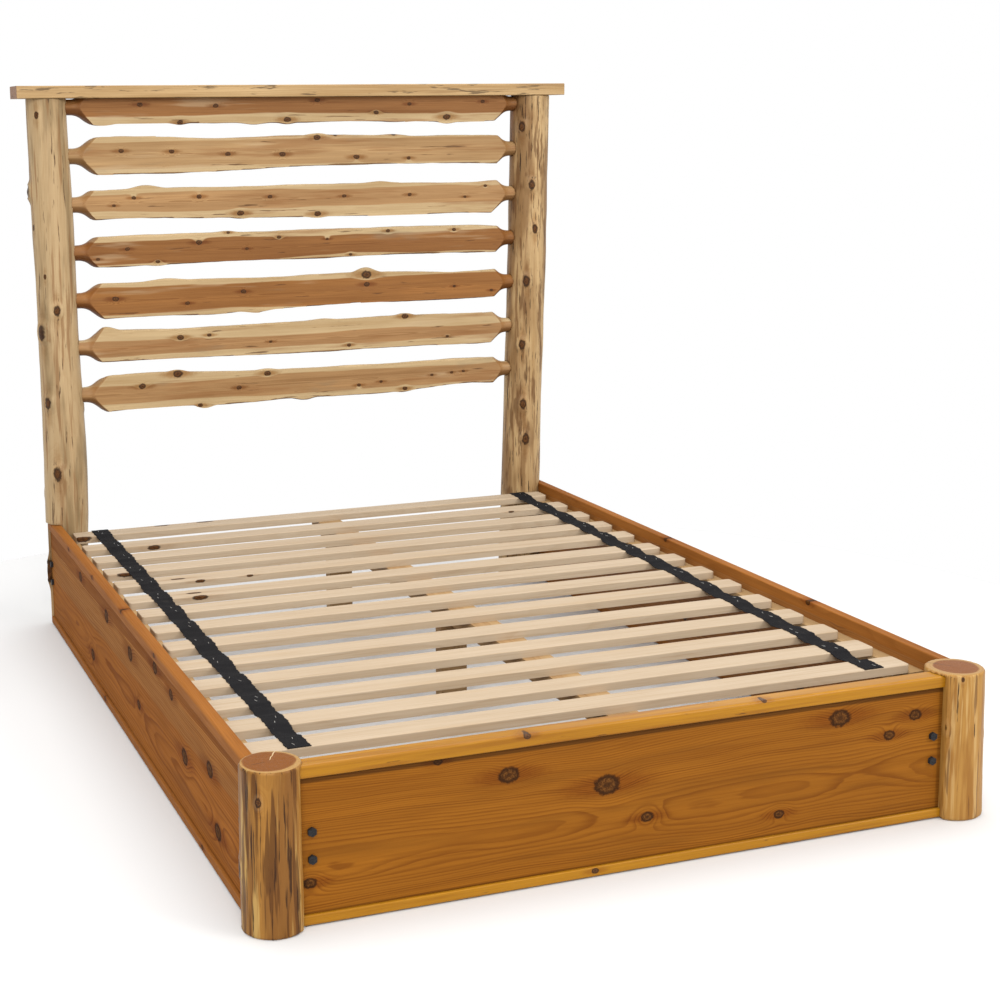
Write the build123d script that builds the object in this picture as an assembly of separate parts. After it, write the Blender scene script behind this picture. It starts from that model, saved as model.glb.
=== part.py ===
from build123d import *
from math import cos, radians, sin, tan
import os

# Rustic cedar log bed for a queen mattress, in millimetres.
# Seen from the foot end, +X is to the right, +Y points to the headboard and +Z is up.
# The floor is Z = 0 and the origin is at the centre of the bed's footprint.

# ---- Mattress and the room it gets -------------------------------------------------
MATTRESS_WIDTH = 1524.0
MATTRESS_LENGTH = 2032.0
SIDE_ROOM = 8.0
END_ROOM = 75.0

# ---- Log posts ----------------------------------------------------------------------
POST_INSET = 15.0
HEAD_POST_HEIGHT = 1546.0
FOOT_POST_HEIGHT = 321.0
HEAD_POST_BEVEL = 2.0
FOOT_POST_BEVEL = 3.0
FOOT_POST_LEFT_RADIUS = 60.0
FOOT_POST_RIGHT_RADIUS = 62.0
POST_BUTT_SWELL = 2.0
HEAD_POST_LEFT_RADIUS = 59.0
HEAD_POST_RIGHT_RADIUS = 60.0

# ---- Boxed rails: board with a rounded trim above and below ---------------------------
RAIL_FLOOR_GAP = 3.0
BOTTOM_TRIM_HEIGHT = 20.0
BOARD_HEIGHT = 267.0
TOP_TRIM_HEIGHT = 26.0
SIDE_BOARD_THICKNESS = 20.0
SIDE_TRIM_WIDTH = 27.0
FOOT_BOARD_THICKNESS = 26.0
FOOT_TRIM_DEPTH = 38.0
FOOT_TRIM_OVERHANG = 6.0
FOOT_TRIM_SETBACK = 30.0
TRIM_ROUND = 6.0
LEDGE_ROUND = 3.0
FOOT_RAIL_END_INSET = 46.0
SIDE_RAIL_END_INSET = 43.0
SIDE_RAIL_PAST_POST = 30.0
HOUSING_GAP = 0.3

# ---- Headboard --------------------------------------------------------------------
HEADBOARD_RAILS = 7
TOP_RAIL_BELOW_CAP = 25.0
RAIL_PITCH = 138.5
RAIL_FACE_OFFSET = 29.0
RAIL_DEPTH = 54.0
RAIL_STATIONS = (-620.0, -400.0, -200.0, 0.0, 200.0, 400.0, 620.0)
TENON_RADIUS = 22.5
TENON_FIT = 0.05
TENON_STOP = 12.0
TENON_REST = 1.0
TENON_REACH = 8.0
CUTTER_ARC_RADIUS = 50.0
CUTTER_CONE_ANGLE = 38.0
CUTTER_MOUTH_RADIUS = 78.0
TENON_BEVEL = 3.0
CAP_OVERHANG = 90.0
CAP_DEPTH = 124.0
CAP_THICKNESS = 35.0
CAP_ROUND = 3.0

# Half heights of each half-log above and below its tenon line, at the stations,
# from the top rail down. The top rail is planed flat under the cap.
RAIL_EDGES = (
    ((50, 50, 50, 50, 50, 50, 50), (50, 48, 49, 50, 49, 53, 53)),
    ((54, 52, 46, 51, 49, 43, 41), (54, 53, 48, 40, 38, 39, 43)),
    ((40, 44, 42, 43, 45, 40, 42), (43, 44, 50, 53, 56, 56, 58)),
    ((45, 46, 45, 45, 45, 46, 38), (42, 40, 39, 40, 38, 37, 41)),
    ((50, 50, 48, 49, 52, 42, 41), (55, 54, 54, 46, 43, 45, 43)),
    ((50, 44, 46, 48, 50, 50, 47), (42, 43, 46, 48, 47, 48, 50)),
    ((52, 54, 46, 43, 41, 41, 39), (52, 50, 50, 47, 50, 42, 39)),
)

# ---- Slats, straps, ledgers and centre support ------------------------------------------
SLAT_COUNT = 14
SLAT_LENGTH = 1500.0
SLAT_WIDTH = 67.0
SLAT_THICKNESS = 19.0
SLAT_ROUND = 2.5
SLAT_CORNER = 8.0
SLAT_RECESS = 23.0
SLAT_HEAD_GAP = 4.0
SLAT_FOOT_GAP = 114.0

# The slats are laid by hand, so each lies a little to one side of the middle and a
# little nearer the foot than even spacing would put it, from the head end down.
SLAT_SHIFTS = (8, 4, 5, 6, 6, 2, 5, 4, 1, -8, -11, -11, -13, -16)
SLAT_STEPS = (0, 20, 23, 21, 13, 24, 14, 17, 16, 25, 24, 20, 12, 0)

STRAP_WIDTH = 48.0
STRAP_THICKNESS = 2.0
STRAP_LEFT_INSET = 108.5
STRAP_RIGHT_INSET = 87.0
STRAP_RIGHT_SKEW = 41.0
LEDGER_WIDTH = 38.0
LEDGER_HEIGHT = 38.0
LEDGER_PAST_SLATS = 1.0
BEAM_WIDTH = 70.0
BEAM_HEIGHT = 38.0
BEAM_OFFSET = 30.0
LEG_THICKNESS = 38.0
LEG_END_INSET = 150.0

# ---- Fastenings --------------------------------------------------------------------
BOLT_RADIUS = 4.0
BOLT_FIT = 0.1
BOLT_HEAD_FLATS = 16.0
BOLT_HEAD_HEIGHT = 7.0
BOLT_SPACING = 54.0
BOLT_CENTRE_HEIGHT = 158.0
BOLT_PROUD = 3.0
NUT_HEIGHT = 6.5
WASHER_RADIUS = 9.0
WASHER_THICKNESS = 1.6
HEAD_LAG_LENGTH = 76.0
HEAD_LAG_PAST_POST = 13.0
BRACKET_HEIGHT = 100.0
BRACKET_LEG = 42.0
BRACKET_THICKNESS = 3.0
BRACKET_HOLE_EDGE = 18.0
BRACKET_SCREW_SPACING = 44.0
BRACKET_FLAT_MARGIN = 6.0
FOOT_BRACKET_INSET = 51.0
SIDE_BRACKET_INSET = 52.0
SCREW_RADIUS = 2.5
SCREW_LENGTH = 32.0
SCREW_HEAD_RADIUS = 5.0
SCREW_HEAD_HEIGHT = 3.0
CAP_SCREW_LENGTH = 90.0
CAP_SCREW_SPACING = 60.0
LEDGER_SCREWS = 7
LEDGER_SCREW_LENGTH = 50.0
LEDGER_SCREW_END = 60.0
BEAM_SCREW_LENGTH = 75.0
BEAM_SCREW_SPACING = 36.0

# ---- Places worked out from the sizes ------------------------------------------------
INNER_X = MATTRESS_WIDTH / 2 + SIDE_ROOM
POST_X = INNER_X - POST_INSET
FOOT_RAIL_BACK = FOOT_TRIM_DEPTH - FOOT_TRIM_SETBACK
POST_TO_POST = FOOT_RAIL_BACK + MATTRESS_LENGTH + END_ROOM + RAIL_FACE_OFFSET
FRONT_REACH = FOOT_POST_RIGHT_RADIUS + POST_BUTT_SWELL
FOOT_Y = (FRONT_REACH - CAP_DEPTH / 2 - POST_TO_POST) / 2
HEAD_Y = FOOT_Y + POST_TO_POST
BOARD_BASE = RAIL_FLOOR_GAP + BOTTOM_TRIM_HEIGHT
BOARD_TOP = BOARD_BASE + BOARD_HEIGHT
RAIL_TOP = BOARD_TOP + TOP_TRIM_HEIGHT
SLAT_TOP = RAIL_TOP - SLAT_RECESS
LEDGER_TOP = SLAT_TOP - SLAT_THICKNESS
FOOT_BOARD_FRONT = FOOT_Y - FOOT_TRIM_SETBACK + FOOT_TRIM_OVERHANG
FOOT_BOARD_BACK = FOOT_BOARD_FRONT + FOOT_BOARD_THICKNESS
FOOT_RAIL_END = POST_X - FOOT_RAIL_END_INSET
SIDE_RAIL_FOOT = FOOT_Y + SIDE_RAIL_END_INSET
SIDE_RAIL_HEAD = HEAD_Y + SIDE_RAIL_PAST_POST
SIDE_OUTER_X = INNER_X + SIDE_TRIM_WIDTH
SIDE_BOARD_OUTER_X = INNER_X + SIDE_BOARD_THICKNESS
CAP_HALF_LENGTH = POST_X + CAP_OVERHANG
SLAT_HEAD_EDGE = HEAD_Y - HEAD_POST_RIGHT_RADIUS - SLAT_HEAD_GAP
SLAT_FOOT_EDGE = FOOT_Y + FOOT_RAIL_BACK + SLAT_FOOT_GAP
SLAT_PITCH = (SLAT_HEAD_EDGE - SLAT_FOOT_EDGE - SLAT_WIDTH) / (SLAT_COUNT - 1)

# A log's sections: height, how far its middle wanders inwards, and the swell of its
# radius. The right head post leans in towards the floor, as the tree grew.
HEAD_POST_LEFT_SECTIONS = (
    (0.0, 9.0, POST_BUTT_SWELL),
    (300.0, 10.0, 3.0),
    (600.0, 12.0, 2.5),
    (830.0, 9.0, -0.5),
    (1120.0, 7.0, 0.0),
    (1330.0, 3.5, -0.5),
    (HEAD_POST_HEIGHT, 0.0, -1.0),
)
HEAD_POST_RIGHT_SECTIONS = (
    (0.0, 38.0, POST_BUTT_SWELL),
    (330.0, 30.0, 1.5),
    (650.0, 21.0, 0.0),
    (900.0, 14.0, 0.0),
    (1160.0, 7.0, 0.0),
    (1350.0, 3.0, 0.0),
    (HEAD_POST_HEIGHT, 0.0, 0.0),
)
FOOT_POST_LEFT_SECTIONS = (
    (0.0, 0.0, POST_BUTT_SWELL),
    (160.0, 0.0, 0.5),
    (FOOT_POST_HEIGHT, 0.0, -1.0),
)
FOOT_POST_RIGHT_SECTIONS = (
    (0.0, -5.0, POST_BUTT_SWELL),
    (160.0, -3.0, 1.0),
    (FOOT_POST_HEIGHT, 0.0, -0.5),
)

# ---- Fastening places -----------------------------------------------------------------
BOLT_HEIGHTS = (BOLT_CENTRE_HEIGHT - BOLT_SPACING / 2, BOLT_CENTRE_HEIGHT + BOLT_SPACING / 2)
BRACKET_SCREW_HEIGHTS = (
    BOLT_CENTRE_HEIGHT - BRACKET_SCREW_SPACING / 2,
    BOLT_CENTRE_HEIGHT + BRACKET_SCREW_SPACING / 2,
)
BRACKET_BASE = BOLT_CENTRE_HEIGHT - BRACKET_HEIGHT / 2
FOOT_BRACKET_X = POST_X - FOOT_BRACKET_INSET
FOOT_BOLT_X = FOOT_BRACKET_X - BRACKET_HOLE_EDGE
SIDE_BRACKET_Y = FOOT_Y + SIDE_BRACKET_INSET
SIDE_BOLT_Y = SIDE_BRACKET_Y + BRACKET_HOLE_EDGE
HEAD_LAG_Y = HEAD_Y + HEAD_LAG_PAST_POST
STACK_BEHIND_RAIL = BRACKET_THICKNESS + WASHER_THICKNESS + NUT_HEIGHT + BOLT_PROUD
FOOT_BOLT_LENGTH = FOOT_BOARD_THICKNESS + STACK_BEHIND_RAIL
SIDE_BOLT_LENGTH = SIDE_BOARD_THICKNESS + STACK_BEHIND_RAIL
FROM_BASE = (Align.CENTER, Align.CENTER, Align.MIN)


def box(x, y, z):
    """A box between two corners, each range given as a (low, high) pair."""
    centre = Pos((x[0] + x[1]) / 2, (y[0] + y[1]) / 2, (z[0] + z[1]) / 2)
    return centre * Box(x[1] - x[0], y[1] - y[0], z[1] - z[0])


def save(name, shape):
    """Write one node as parts/NAME.step."""
    shape.label = name
    export_step(shape, f"parts/{name}.step")


def group(solids):
    """Several loose pieces of one kind, kept as separate solids."""
    return Compound(children=[piece.solid() for piece in solids])


def left_of(shape):
    """The same piece mirrored to the left side of the bed."""
    return mirror(shape, about=Plane.YZ)


def both_sides(pieces):
    """The right side's pieces and the left side's."""
    return list(pieces) + [left_of(piece) for piece in pieces]


def bar(start, direction, length, radius):
    """A round bar that starts at a point and runs along a direction."""
    return Plane(origin=start, z_dir=direction) * Cylinder(radius, length, align=FROM_BASE)


def log(sections, radius, side, y, bevel):
    """Peeled log through round sections, with both ends eased. side is +1 or -1."""
    rings = []
    for height, inward, swell in sections:
        rings.append(Pos(side * (POST_X - inward), y, height) * Circle(radius + swell))
    post = loft(rings)
    return chamfer(post.faces().filter_by(Axis.Z).edges(), bevel)


def post_middle(sections, height):
    """How far from the bed's middle the log's own middle lies at a height."""
    for low, high in zip(sections, sections[1:]):
        if height <= high[0]:
            share = (height - low[0]) / (high[0] - low[0])
            return POST_X - low[1] - share * (high[1] - low[1])
    return POST_X - sections[-1][1]


def rail_height(index):
    """Height of a headboard rail's tenon line, the top rail being index 0."""
    return HEAD_POST_HEIGHT - TOP_RAIL_BELOW_CAP - RAIL_PITCH * index


def hex_bolt(seat, direction, length):
    """Hexagon head on its seat, with the shank running along the direction."""
    plane = Plane(origin=seat, z_dir=direction)
    outline = RegularPolygon(BOLT_HEAD_FLATS / 2, 6, major_radius=False)
    head = extrude(plane * outline, -BOLT_HEAD_HEIGHT)
    return head + bar(seat, direction, length, BOLT_RADIUS)


def nut(seat, direction):
    """Hexagon nut with a bore that clears the bolt."""
    outline = RegularPolygon(BOLT_HEAD_FLATS / 2, 6, major_radius=False)
    ring = outline - Circle(BOLT_RADIUS + BOLT_FIT)
    return extrude(Plane(origin=seat, z_dir=direction) * ring, NUT_HEIGHT)


def washer(seat, direction):
    """Flat washer that clears the bolt."""
    ring = Circle(WASHER_RADIUS) - Circle(BOLT_RADIUS + BOLT_FIT)
    return extrude(Plane(origin=seat, z_dir=direction) * ring, WASHER_THICKNESS)


def flat_screw(top, direction, length):
    """Countersunk wood screw, flush with the face that it is driven into."""
    cone = Cone(SCREW_HEAD_RADIUS, SCREW_RADIUS, SCREW_HEAD_HEIGHT, align=FROM_BASE)
    head = Plane(origin=top, z_dir=direction) * cone
    return head + bar(top, direction, length, SCREW_RADIUS)


def pan_screw(seat, direction, length):
    """Wood screw with a low round head that stands on its seat."""
    head = extrude(Plane(origin=seat, z_dir=direction) * Circle(SCREW_HEAD_RADIUS), -SCREW_HEAD_HEIGHT)
    return head + bar(seat, direction, length, SCREW_RADIUS)


def round_edges(piece, axis, radii):
    """Round long edges: radii maps an edge's place across the piece to its radius."""
    for corner, radius in radii:
        edge = piece.edges().filter_by(axis).sort_by_distance(corner)[0]
        piece = fillet(edge, radius)
    return piece


def angle_bracket():
    """Steel angle with its outer corner at the origin: bolted leg to -X, screwed leg to +Y."""
    z = (BRACKET_BASE, BRACKET_BASE + BRACKET_HEIGHT)
    bolted = box((-BRACKET_LEG, 0), (0, BRACKET_THICKNESS), z)
    screwed = box((-BRACKET_THICKNESS, 0), (0, BRACKET_LEG), z)
    angle = bolted + screwed
    for height in BOLT_HEIGHTS:
        start = (-BRACKET_HOLE_EDGE, 0, height)
        angle -= bar(start, (0, 1, 0), BRACKET_THICKNESS, BOLT_RADIUS + BOLT_FIT)
    for height in BRACKET_SCREW_HEIGHTS:
        start = (-BRACKET_THICKNESS, BRACKET_HOLE_EDGE, height)
        angle -= bar(start, (1, 0, 0), BRACKET_THICKNESS, SCREW_RADIUS)
    return angle


def cutter_side(side, tip, shoulder):
    """Outline of one tenon and its flared shoulder, from the tip to the cutter's mouth."""
    angle = radians(CUTTER_CONE_ANGLE)
    flare_x = shoulder - CUTTER_ARC_RADIUS * sin(angle)
    flare_r = TENON_RADIUS + CUTTER_ARC_RADIUS * (1 - cos(angle))
    half_x = shoulder - CUTTER_ARC_RADIUS * sin(angle / 2)
    half_r = TENON_RADIUS + CUTTER_ARC_RADIUS * (1 - cos(angle / 2))
    mouth_x = flare_x - (CUTTER_MOUTH_RADIUS - flare_r) / tan(angle)
    tip_centre = (side * tip, 0)
    tip_edge = (side * tip, TENON_RADIUS - TENON_BEVEL)
    bevel_end = (side * (tip - TENON_BEVEL), TENON_RADIUS)
    straight_end = (side * shoulder, TENON_RADIUS)
    flare_mid = (side * half_x, half_r)
    flare_end = (side * flare_x, flare_r)
    mouth = (side * mouth_x, CUTTER_MOUTH_RADIUS)
    lines = [
        Line(tip_centre, tip_edge),
        Line(tip_edge, bevel_end),
        Line(bevel_end, straight_end),
        ThreePointArc(straight_end, flare_mid, flare_end),
        Line(flare_end, mouth),
    ]
    return lines, tip_centre, mouth


def tenon_envelope(height, tips, shoulders):
    """What the tenon cutter leaves of a log that has its axis at this height."""
    left, left_tip, left_mouth = cutter_side(-1, tips[0], shoulders[0])
    right, right_tip, right_mouth = cutter_side(1, tips[1], shoulders[1])
    outline = left + right + [Line(left_mouth, right_mouth), Line(left_tip, right_tip)]
    plane = Plane(origin=(0, HEAD_Y, height), x_dir=(1, 0, 0), z_dir=(0, -1, 0))
    return revolve(plane * make_face(outline), Axis((0, HEAD_Y, height), (1, 0, 0)))


def headboard_rail(index):
    """Half-log with live edges, a flat front and a round tenon at each end."""
    height = rail_height(index)
    middles = (
        post_middle(HEAD_POST_LEFT_SECTIONS, height),
        post_middle(HEAD_POST_RIGHT_SECTIONS, height),
    )
    tips = [middle - TENON_STOP for middle in middles]
    shoulders = [
        middles[0] - HEAD_POST_LEFT_RADIUS - TENON_REACH,
        middles[1] - HEAD_POST_RIGHT_RADIUS - TENON_REACH,
    ]
    front = HEAD_Y - RAIL_FACE_OFFSET
    ups, downs = RAIL_EDGES[index]
    stations = (-POST_X,) + RAIL_STATIONS + (POST_X,)
    ups = (ups[0],) + ups + (ups[-1],)
    downs = (downs[0],) + downs + (downs[-1],)
    sections = []
    for x, up, down in zip(stations, ups, downs):
        low = (x, front, height - down)
        high = (x, front, height + up)
        back = (x, front + RAIL_DEPTH, height + (up - down) / 2)
        sections.append(make_face([Line(low, high), ThreePointArc(high, back, low)]))
    rail = loft(sections) & tenon_envelope(height, tips, shoulders)
    if index == 0:
        above = box(
            (-POST_X, POST_X),
            (front - RAIL_DEPTH, front + 2 * RAIL_DEPTH),
            (HEAD_POST_HEIGHT, HEAD_POST_HEIGHT + RAIL_PITCH),
        )
        rail -= above
    return rail


def head_post(sections, radius, side):
    """Tall log post with seven tenon bores and a housing for the side rail's end."""
    post = log(sections, radius, side, HEAD_Y, HEAD_POST_BEVEL)
    for index in range(HEADBOARD_RAILS):
        height = rail_height(index)
        bottom = post_middle(sections, height) - TENON_STOP + TENON_REST
        start = (side * bottom, HEAD_Y, height)
        post -= bar(start, (-side, 0, 0), 2 * radius, TENON_RADIUS + TENON_FIT)
    reach = SIDE_RAIL_HEAD + HOUSING_GAP
    x = sorted((side * INNER_X, side * CAP_HALF_LENGTH))
    post -= box(x, (HEAD_Y - 2 * radius, reach), (-RAIL_FLOOR_GAP, RAIL_TOP + HOUSING_GAP))
    for height in BOLT_HEIGHTS:
        start = (side * SIDE_BOARD_OUTER_X, HEAD_LAG_Y, height)
        post -= bar(start, (-side, 0, 0), HEAD_LAG_LENGTH, BOLT_RADIUS)
    for y in CAP_SCREW_YS:
        post -= bar((side * POST_X, y, CAP_TOP), (0, 0, -1), CAP_SCREW_LENGTH, SCREW_RADIUS)
    return post


def foot_post(sections, radius, side):
    """Short log post, cut away for the foot rail, the side rail and both brackets."""
    post = log(sections, radius, side, FOOT_Y, FOOT_POST_BEVEL)
    low = -RAIL_FLOOR_GAP
    high = RAIL_TOP + HOUSING_GAP
    x = sorted((0, side * (FOOT_RAIL_END + HOUSING_GAP)))
    y = (FOOT_Y - 2 * radius, FOOT_Y + FOOT_RAIL_BACK + HOUSING_GAP)
    post -= box(x, y, (low, high))
    x = sorted((side * INNER_X, side * CAP_HALF_LENGTH))
    y = (SIDE_RAIL_FOOT - HOUSING_GAP, FOOT_Y + 2 * radius)
    post -= box(x, y, (low, high))
    flat = (BRACKET_BASE - BRACKET_FLAT_MARGIN, BRACKET_BASE + BRACKET_HEIGHT + BRACKET_FLAT_MARGIN)
    x = sorted((0, side * FOOT_BRACKET_X))
    post -= box(x, (FOOT_Y, FOOT_Y + 2 * radius), flat)
    x = sorted((0, side * INNER_X))
    post -= box(x, (SIDE_BRACKET_Y, FOOT_Y + 2 * radius), flat)
    for screw in both_sides(bracket_screws()):
        post -= screw
    return post


def bracket_screws():
    """Four pan-head screws that hold the right foot post's two brackets."""
    screws = []
    for height in BRACKET_SCREW_HEIGHTS:
        seat = (FOOT_BRACKET_X - BRACKET_THICKNESS, FOOT_BOARD_BACK + BRACKET_HOLE_EDGE, height)
        screws.append(pan_screw(seat, (1, 0, 0), SCREW_LENGTH))
        seat = (INNER_X - BRACKET_HOLE_EDGE, SIDE_BRACKET_Y + BRACKET_THICKNESS, height)
        screws.append(pan_screw(seat, (0, -1, 0), SCREW_LENGTH))
    return screws


def side_rail():
    """Board, top trim and bottom trim of the right side rail."""
    y = (SIDE_RAIL_FOOT, SIDE_RAIL_HEAD)
    board = box((INNER_X, SIDE_BOARD_OUTER_X), y, (BOARD_BASE, BOARD_TOP))
    for place in (SIDE_BOLT_Y, HEAD_LAG_Y):
        for height in BOLT_HEIGHTS:
            start = (INNER_X, place, height)
            board -= bar(start, (1, 0, 0), SIDE_BOARD_THICKNESS, BOLT_RADIUS + BOLT_FIT)
    for screw in ledger_screws():
        board -= screw
    middle = (SIDE_RAIL_FOOT + SIDE_RAIL_HEAD) / 2
    top = box((INNER_X, SIDE_OUTER_X), y, (BOARD_TOP, RAIL_TOP))
    top = round_edges(
        top,
        Axis.Y,
        (
            ((SIDE_OUTER_X, middle, RAIL_TOP), TRIM_ROUND),
            ((SIDE_OUTER_X, middle, BOARD_TOP), LEDGE_ROUND),
            ((INNER_X, middle, RAIL_TOP), LEDGE_ROUND),
        ),
    )
    bottom = box((INNER_X, SIDE_OUTER_X), y, (RAIL_FLOOR_GAP, BOARD_BASE))
    bottom = round_edges(
        bottom,
        Axis.Y,
        (
            ((SIDE_OUTER_X, middle, BOARD_BASE), LEDGE_ROUND),
            ((SIDE_OUTER_X, middle, RAIL_FLOOR_GAP), LEDGE_ROUND),
        ),
    )
    return board, top, bottom


def foot_rail():
    """Board, top trim and bottom trim of the foot rail."""
    x = (-FOOT_RAIL_END, FOOT_RAIL_END)
    board = box(x, (FOOT_BOARD_FRONT, FOOT_BOARD_BACK), (BOARD_BASE, BOARD_TOP))
    for side in (-1, 1):
        for height in BOLT_HEIGHTS:
            start = (side * FOOT_BOLT_X, FOOT_BOARD_FRONT, height)
            board -= bar(start, (0, 1, 0), FOOT_BOARD_THICKNESS, BOLT_RADIUS + BOLT_FIT)
    front = FOOT_Y - FOOT_TRIM_SETBACK
    back = front + FOOT_TRIM_DEPTH
    top = box(x, (front, back), (BOARD_TOP, RAIL_TOP))
    top = round_edges(
        top,
        Axis.X,
        (
            ((0, front, RAIL_TOP), TRIM_ROUND),
            ((0, front, BOARD_TOP), LEDGE_ROUND),
            ((0, back, RAIL_TOP), LEDGE_ROUND),
        ),
    )
    bottom = box(x, (front, back), (RAIL_FLOOR_GAP, BOARD_BASE))
    bottom = round_edges(
        bottom,
        Axis.X,
        (
            ((0, front, BOARD_BASE), LEDGE_ROUND),
            ((0, front, RAIL_FLOOR_GAP), LEDGE_ROUND),
        ),
    )
    return board, top, bottom


def ledger_screws():
    """Countersunk screws through the right ledger into the side board."""
    screws = []
    start = LEDGER_FOOT + LEDGER_SCREW_END
    step = (LEDGER_HEAD - LEDGER_SCREW_END - start) / (LEDGER_SCREWS - 1)
    for index in range(LEDGER_SCREWS):
        top = (INNER_X - LEDGER_WIDTH, start + index * step, LEDGER_TOP - LEDGER_HEIGHT / 2)
        screws.append(flat_screw(top, (1, 0, 0), LEDGER_SCREW_LENGTH))
    return screws


def slat(index):
    """One slat, counted from the head, with rounded ends and its top edges eased."""
    middle = SLAT_SHIFTS[index]
    low = SLAT_HEAD_EDGE - SLAT_WIDTH - index * SLAT_PITCH - SLAT_STEPS[index]
    x = (middle - SLAT_LENGTH / 2, middle + SLAT_LENGTH / 2)
    board = box(x, (low, low + SLAT_WIDTH), (LEDGER_TOP, SLAT_TOP))
    board = fillet(board.edges().filter_by(Axis.Z), SLAT_CORNER)
    return fillet(board.faces().sort_by(Axis.Z)[-1].edges(), SLAT_ROUND)


def strap(foot_x, head_x):
    """Flat webbing over all the slats, from its middle at the foot to its middle at the head."""
    half = STRAP_WIDTH / 2
    corners = (
        (foot_x - half, SLAT_FOOT_EDGE),
        (foot_x + half, SLAT_FOOT_EDGE),
        (head_x + half, SLAT_HEAD_EDGE),
        (head_x - half, SLAT_HEAD_EDGE),
    )
    outline = make_face(Polyline(*corners, close=True))
    return extrude(Pos(0, 0, SLAT_TOP) * outline, STRAP_THICKNESS)


# ---- More places ------------------------------------------------------------------------
CAP_TOP = HEAD_POST_HEIGHT + CAP_THICKNESS
CAP_SCREW_YS = (HEAD_Y - CAP_SCREW_SPACING / 2, HEAD_Y + CAP_SCREW_SPACING / 2)
LEDGER_FOOT = SLAT_FOOT_EDGE - LEDGER_PAST_SLATS
LEDGER_HEAD = SLAT_HEAD_EDGE + LEDGER_PAST_SLATS
BEAM_X = (BEAM_OFFSET - BEAM_WIDTH / 2, BEAM_OFFSET + BEAM_WIDTH / 2)
LEG_TOP = LEDGER_TOP - BEAM_HEIGHT

os.makedirs("parts", exist_ok=True)

# ---- Posts and headboard ------------------------------------------------------------------
save("head_post_left", head_post(HEAD_POST_LEFT_SECTIONS, HEAD_POST_LEFT_RADIUS, -1))
save("head_post_right", head_post(HEAD_POST_RIGHT_SECTIONS, HEAD_POST_RIGHT_RADIUS, 1))
save("foot_post_left", foot_post(FOOT_POST_LEFT_SECTIONS, FOOT_POST_LEFT_RADIUS, -1))
save("foot_post_right", foot_post(FOOT_POST_RIGHT_SECTIONS, FOOT_POST_RIGHT_RADIUS, 1))
for number in range(HEADBOARD_RAILS):
    save(f"headboard_rail_{number + 1}", headboard_rail(number))

cap_screws = []
for side in (-1, 1):
    for y in CAP_SCREW_YS:
        cap_screws.append(flat_screw((side * POST_X, y, CAP_TOP), (0, 0, -1), CAP_SCREW_LENGTH))
cap = box(
    (-CAP_HALF_LENGTH, CAP_HALF_LENGTH),
    (HEAD_Y - CAP_DEPTH / 2, HEAD_Y + CAP_DEPTH / 2),
    (HEAD_POST_HEIGHT, CAP_TOP),
)
cap = fillet(cap.edges().filter_by(Axis.X), CAP_ROUND)
for screw in cap_screws:
    cap -= screw
save("headboard_cap", cap)
save("cap_screws", group(cap_screws))

# ---- Side rails and foot rail --------------------------------------------------------------
for piece, name in zip(side_rail(), ("board", "top_trim", "bottom_trim")):
    save(f"side_rail_{name}_right", piece)
    save(f"side_rail_{name}_left", left_of(piece))
for piece, name in zip(foot_rail(), ("board", "top_trim", "bottom_trim")):
    save(f"foot_rail_{name}", piece)

ledger = box(
    (INNER_X - LEDGER_WIDTH, INNER_X),
    (LEDGER_FOOT, LEDGER_HEAD),
    (LEDGER_TOP - LEDGER_HEIGHT, LEDGER_TOP),
)
for screw in ledger_screws():
    ledger -= screw
save("slat_ledger_right", ledger)
save("slat_ledger_left", left_of(ledger))
save("ledger_screws", group(both_sides(ledger_screws())))

# ---- Centre beam and its legs ----------------------------------------------------------------
beam = box(BEAM_X, (FOOT_BOARD_BACK, LEDGER_HEAD), (LEG_TOP, LEDGER_TOP))
leg_foot_y = FOOT_BOARD_BACK + LEG_END_INSET
leg_head_y = LEDGER_HEAD - LEG_END_INSET
leg_ys = (leg_head_y, (leg_foot_y + leg_head_y) / 2, leg_foot_y)
leg_screws = []
for y, name in zip(leg_ys, ("head", "middle", "foot")):
    leg = box(BEAM_X, (y - LEG_THICKNESS / 2, y + LEG_THICKNESS / 2), (0, LEG_TOP))
    for offset in (-BEAM_SCREW_SPACING / 2, BEAM_SCREW_SPACING / 2):
        screw = flat_screw((BEAM_OFFSET + offset, y, LEDGER_TOP), (0, 0, -1), BEAM_SCREW_LENGTH)
        leg -= screw
        beam -= screw
        leg_screws.append(screw)
    save(f"centre_leg_{name}", leg)
save("centre_beam", beam)
save("leg_screws", group(leg_screws))

# ---- Slats and webbing straps ------------------------------------------------------------------
for number in range(SLAT_COUNT):
    save(f"slat_{number + 1:02d}", slat(number))
strap_left_x = STRAP_LEFT_INSET - INNER_X
strap_right_x = INNER_X - STRAP_RIGHT_INSET
save("slat_strap_left", strap(strap_left_x, strap_left_x))
save("slat_strap_right", strap(strap_right_x - STRAP_RIGHT_SKEW, strap_right_x))

# ---- Brackets, bolts and screws ---------------------------------------------------------------
foot_bracket = Pos(FOOT_BRACKET_X, FOOT_BOARD_BACK, 0) * angle_bracket()
turned = mirror(angle_bracket(), about=Plane(origin=(0, 0, 0), x_dir=(0, 0, 1), z_dir=(1, 1, 0)))
side_bracket = Pos(INNER_X, SIDE_BRACKET_Y, 0) * turned
save("corner_brackets", group(both_sides([foot_bracket, side_bracket])))

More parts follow.
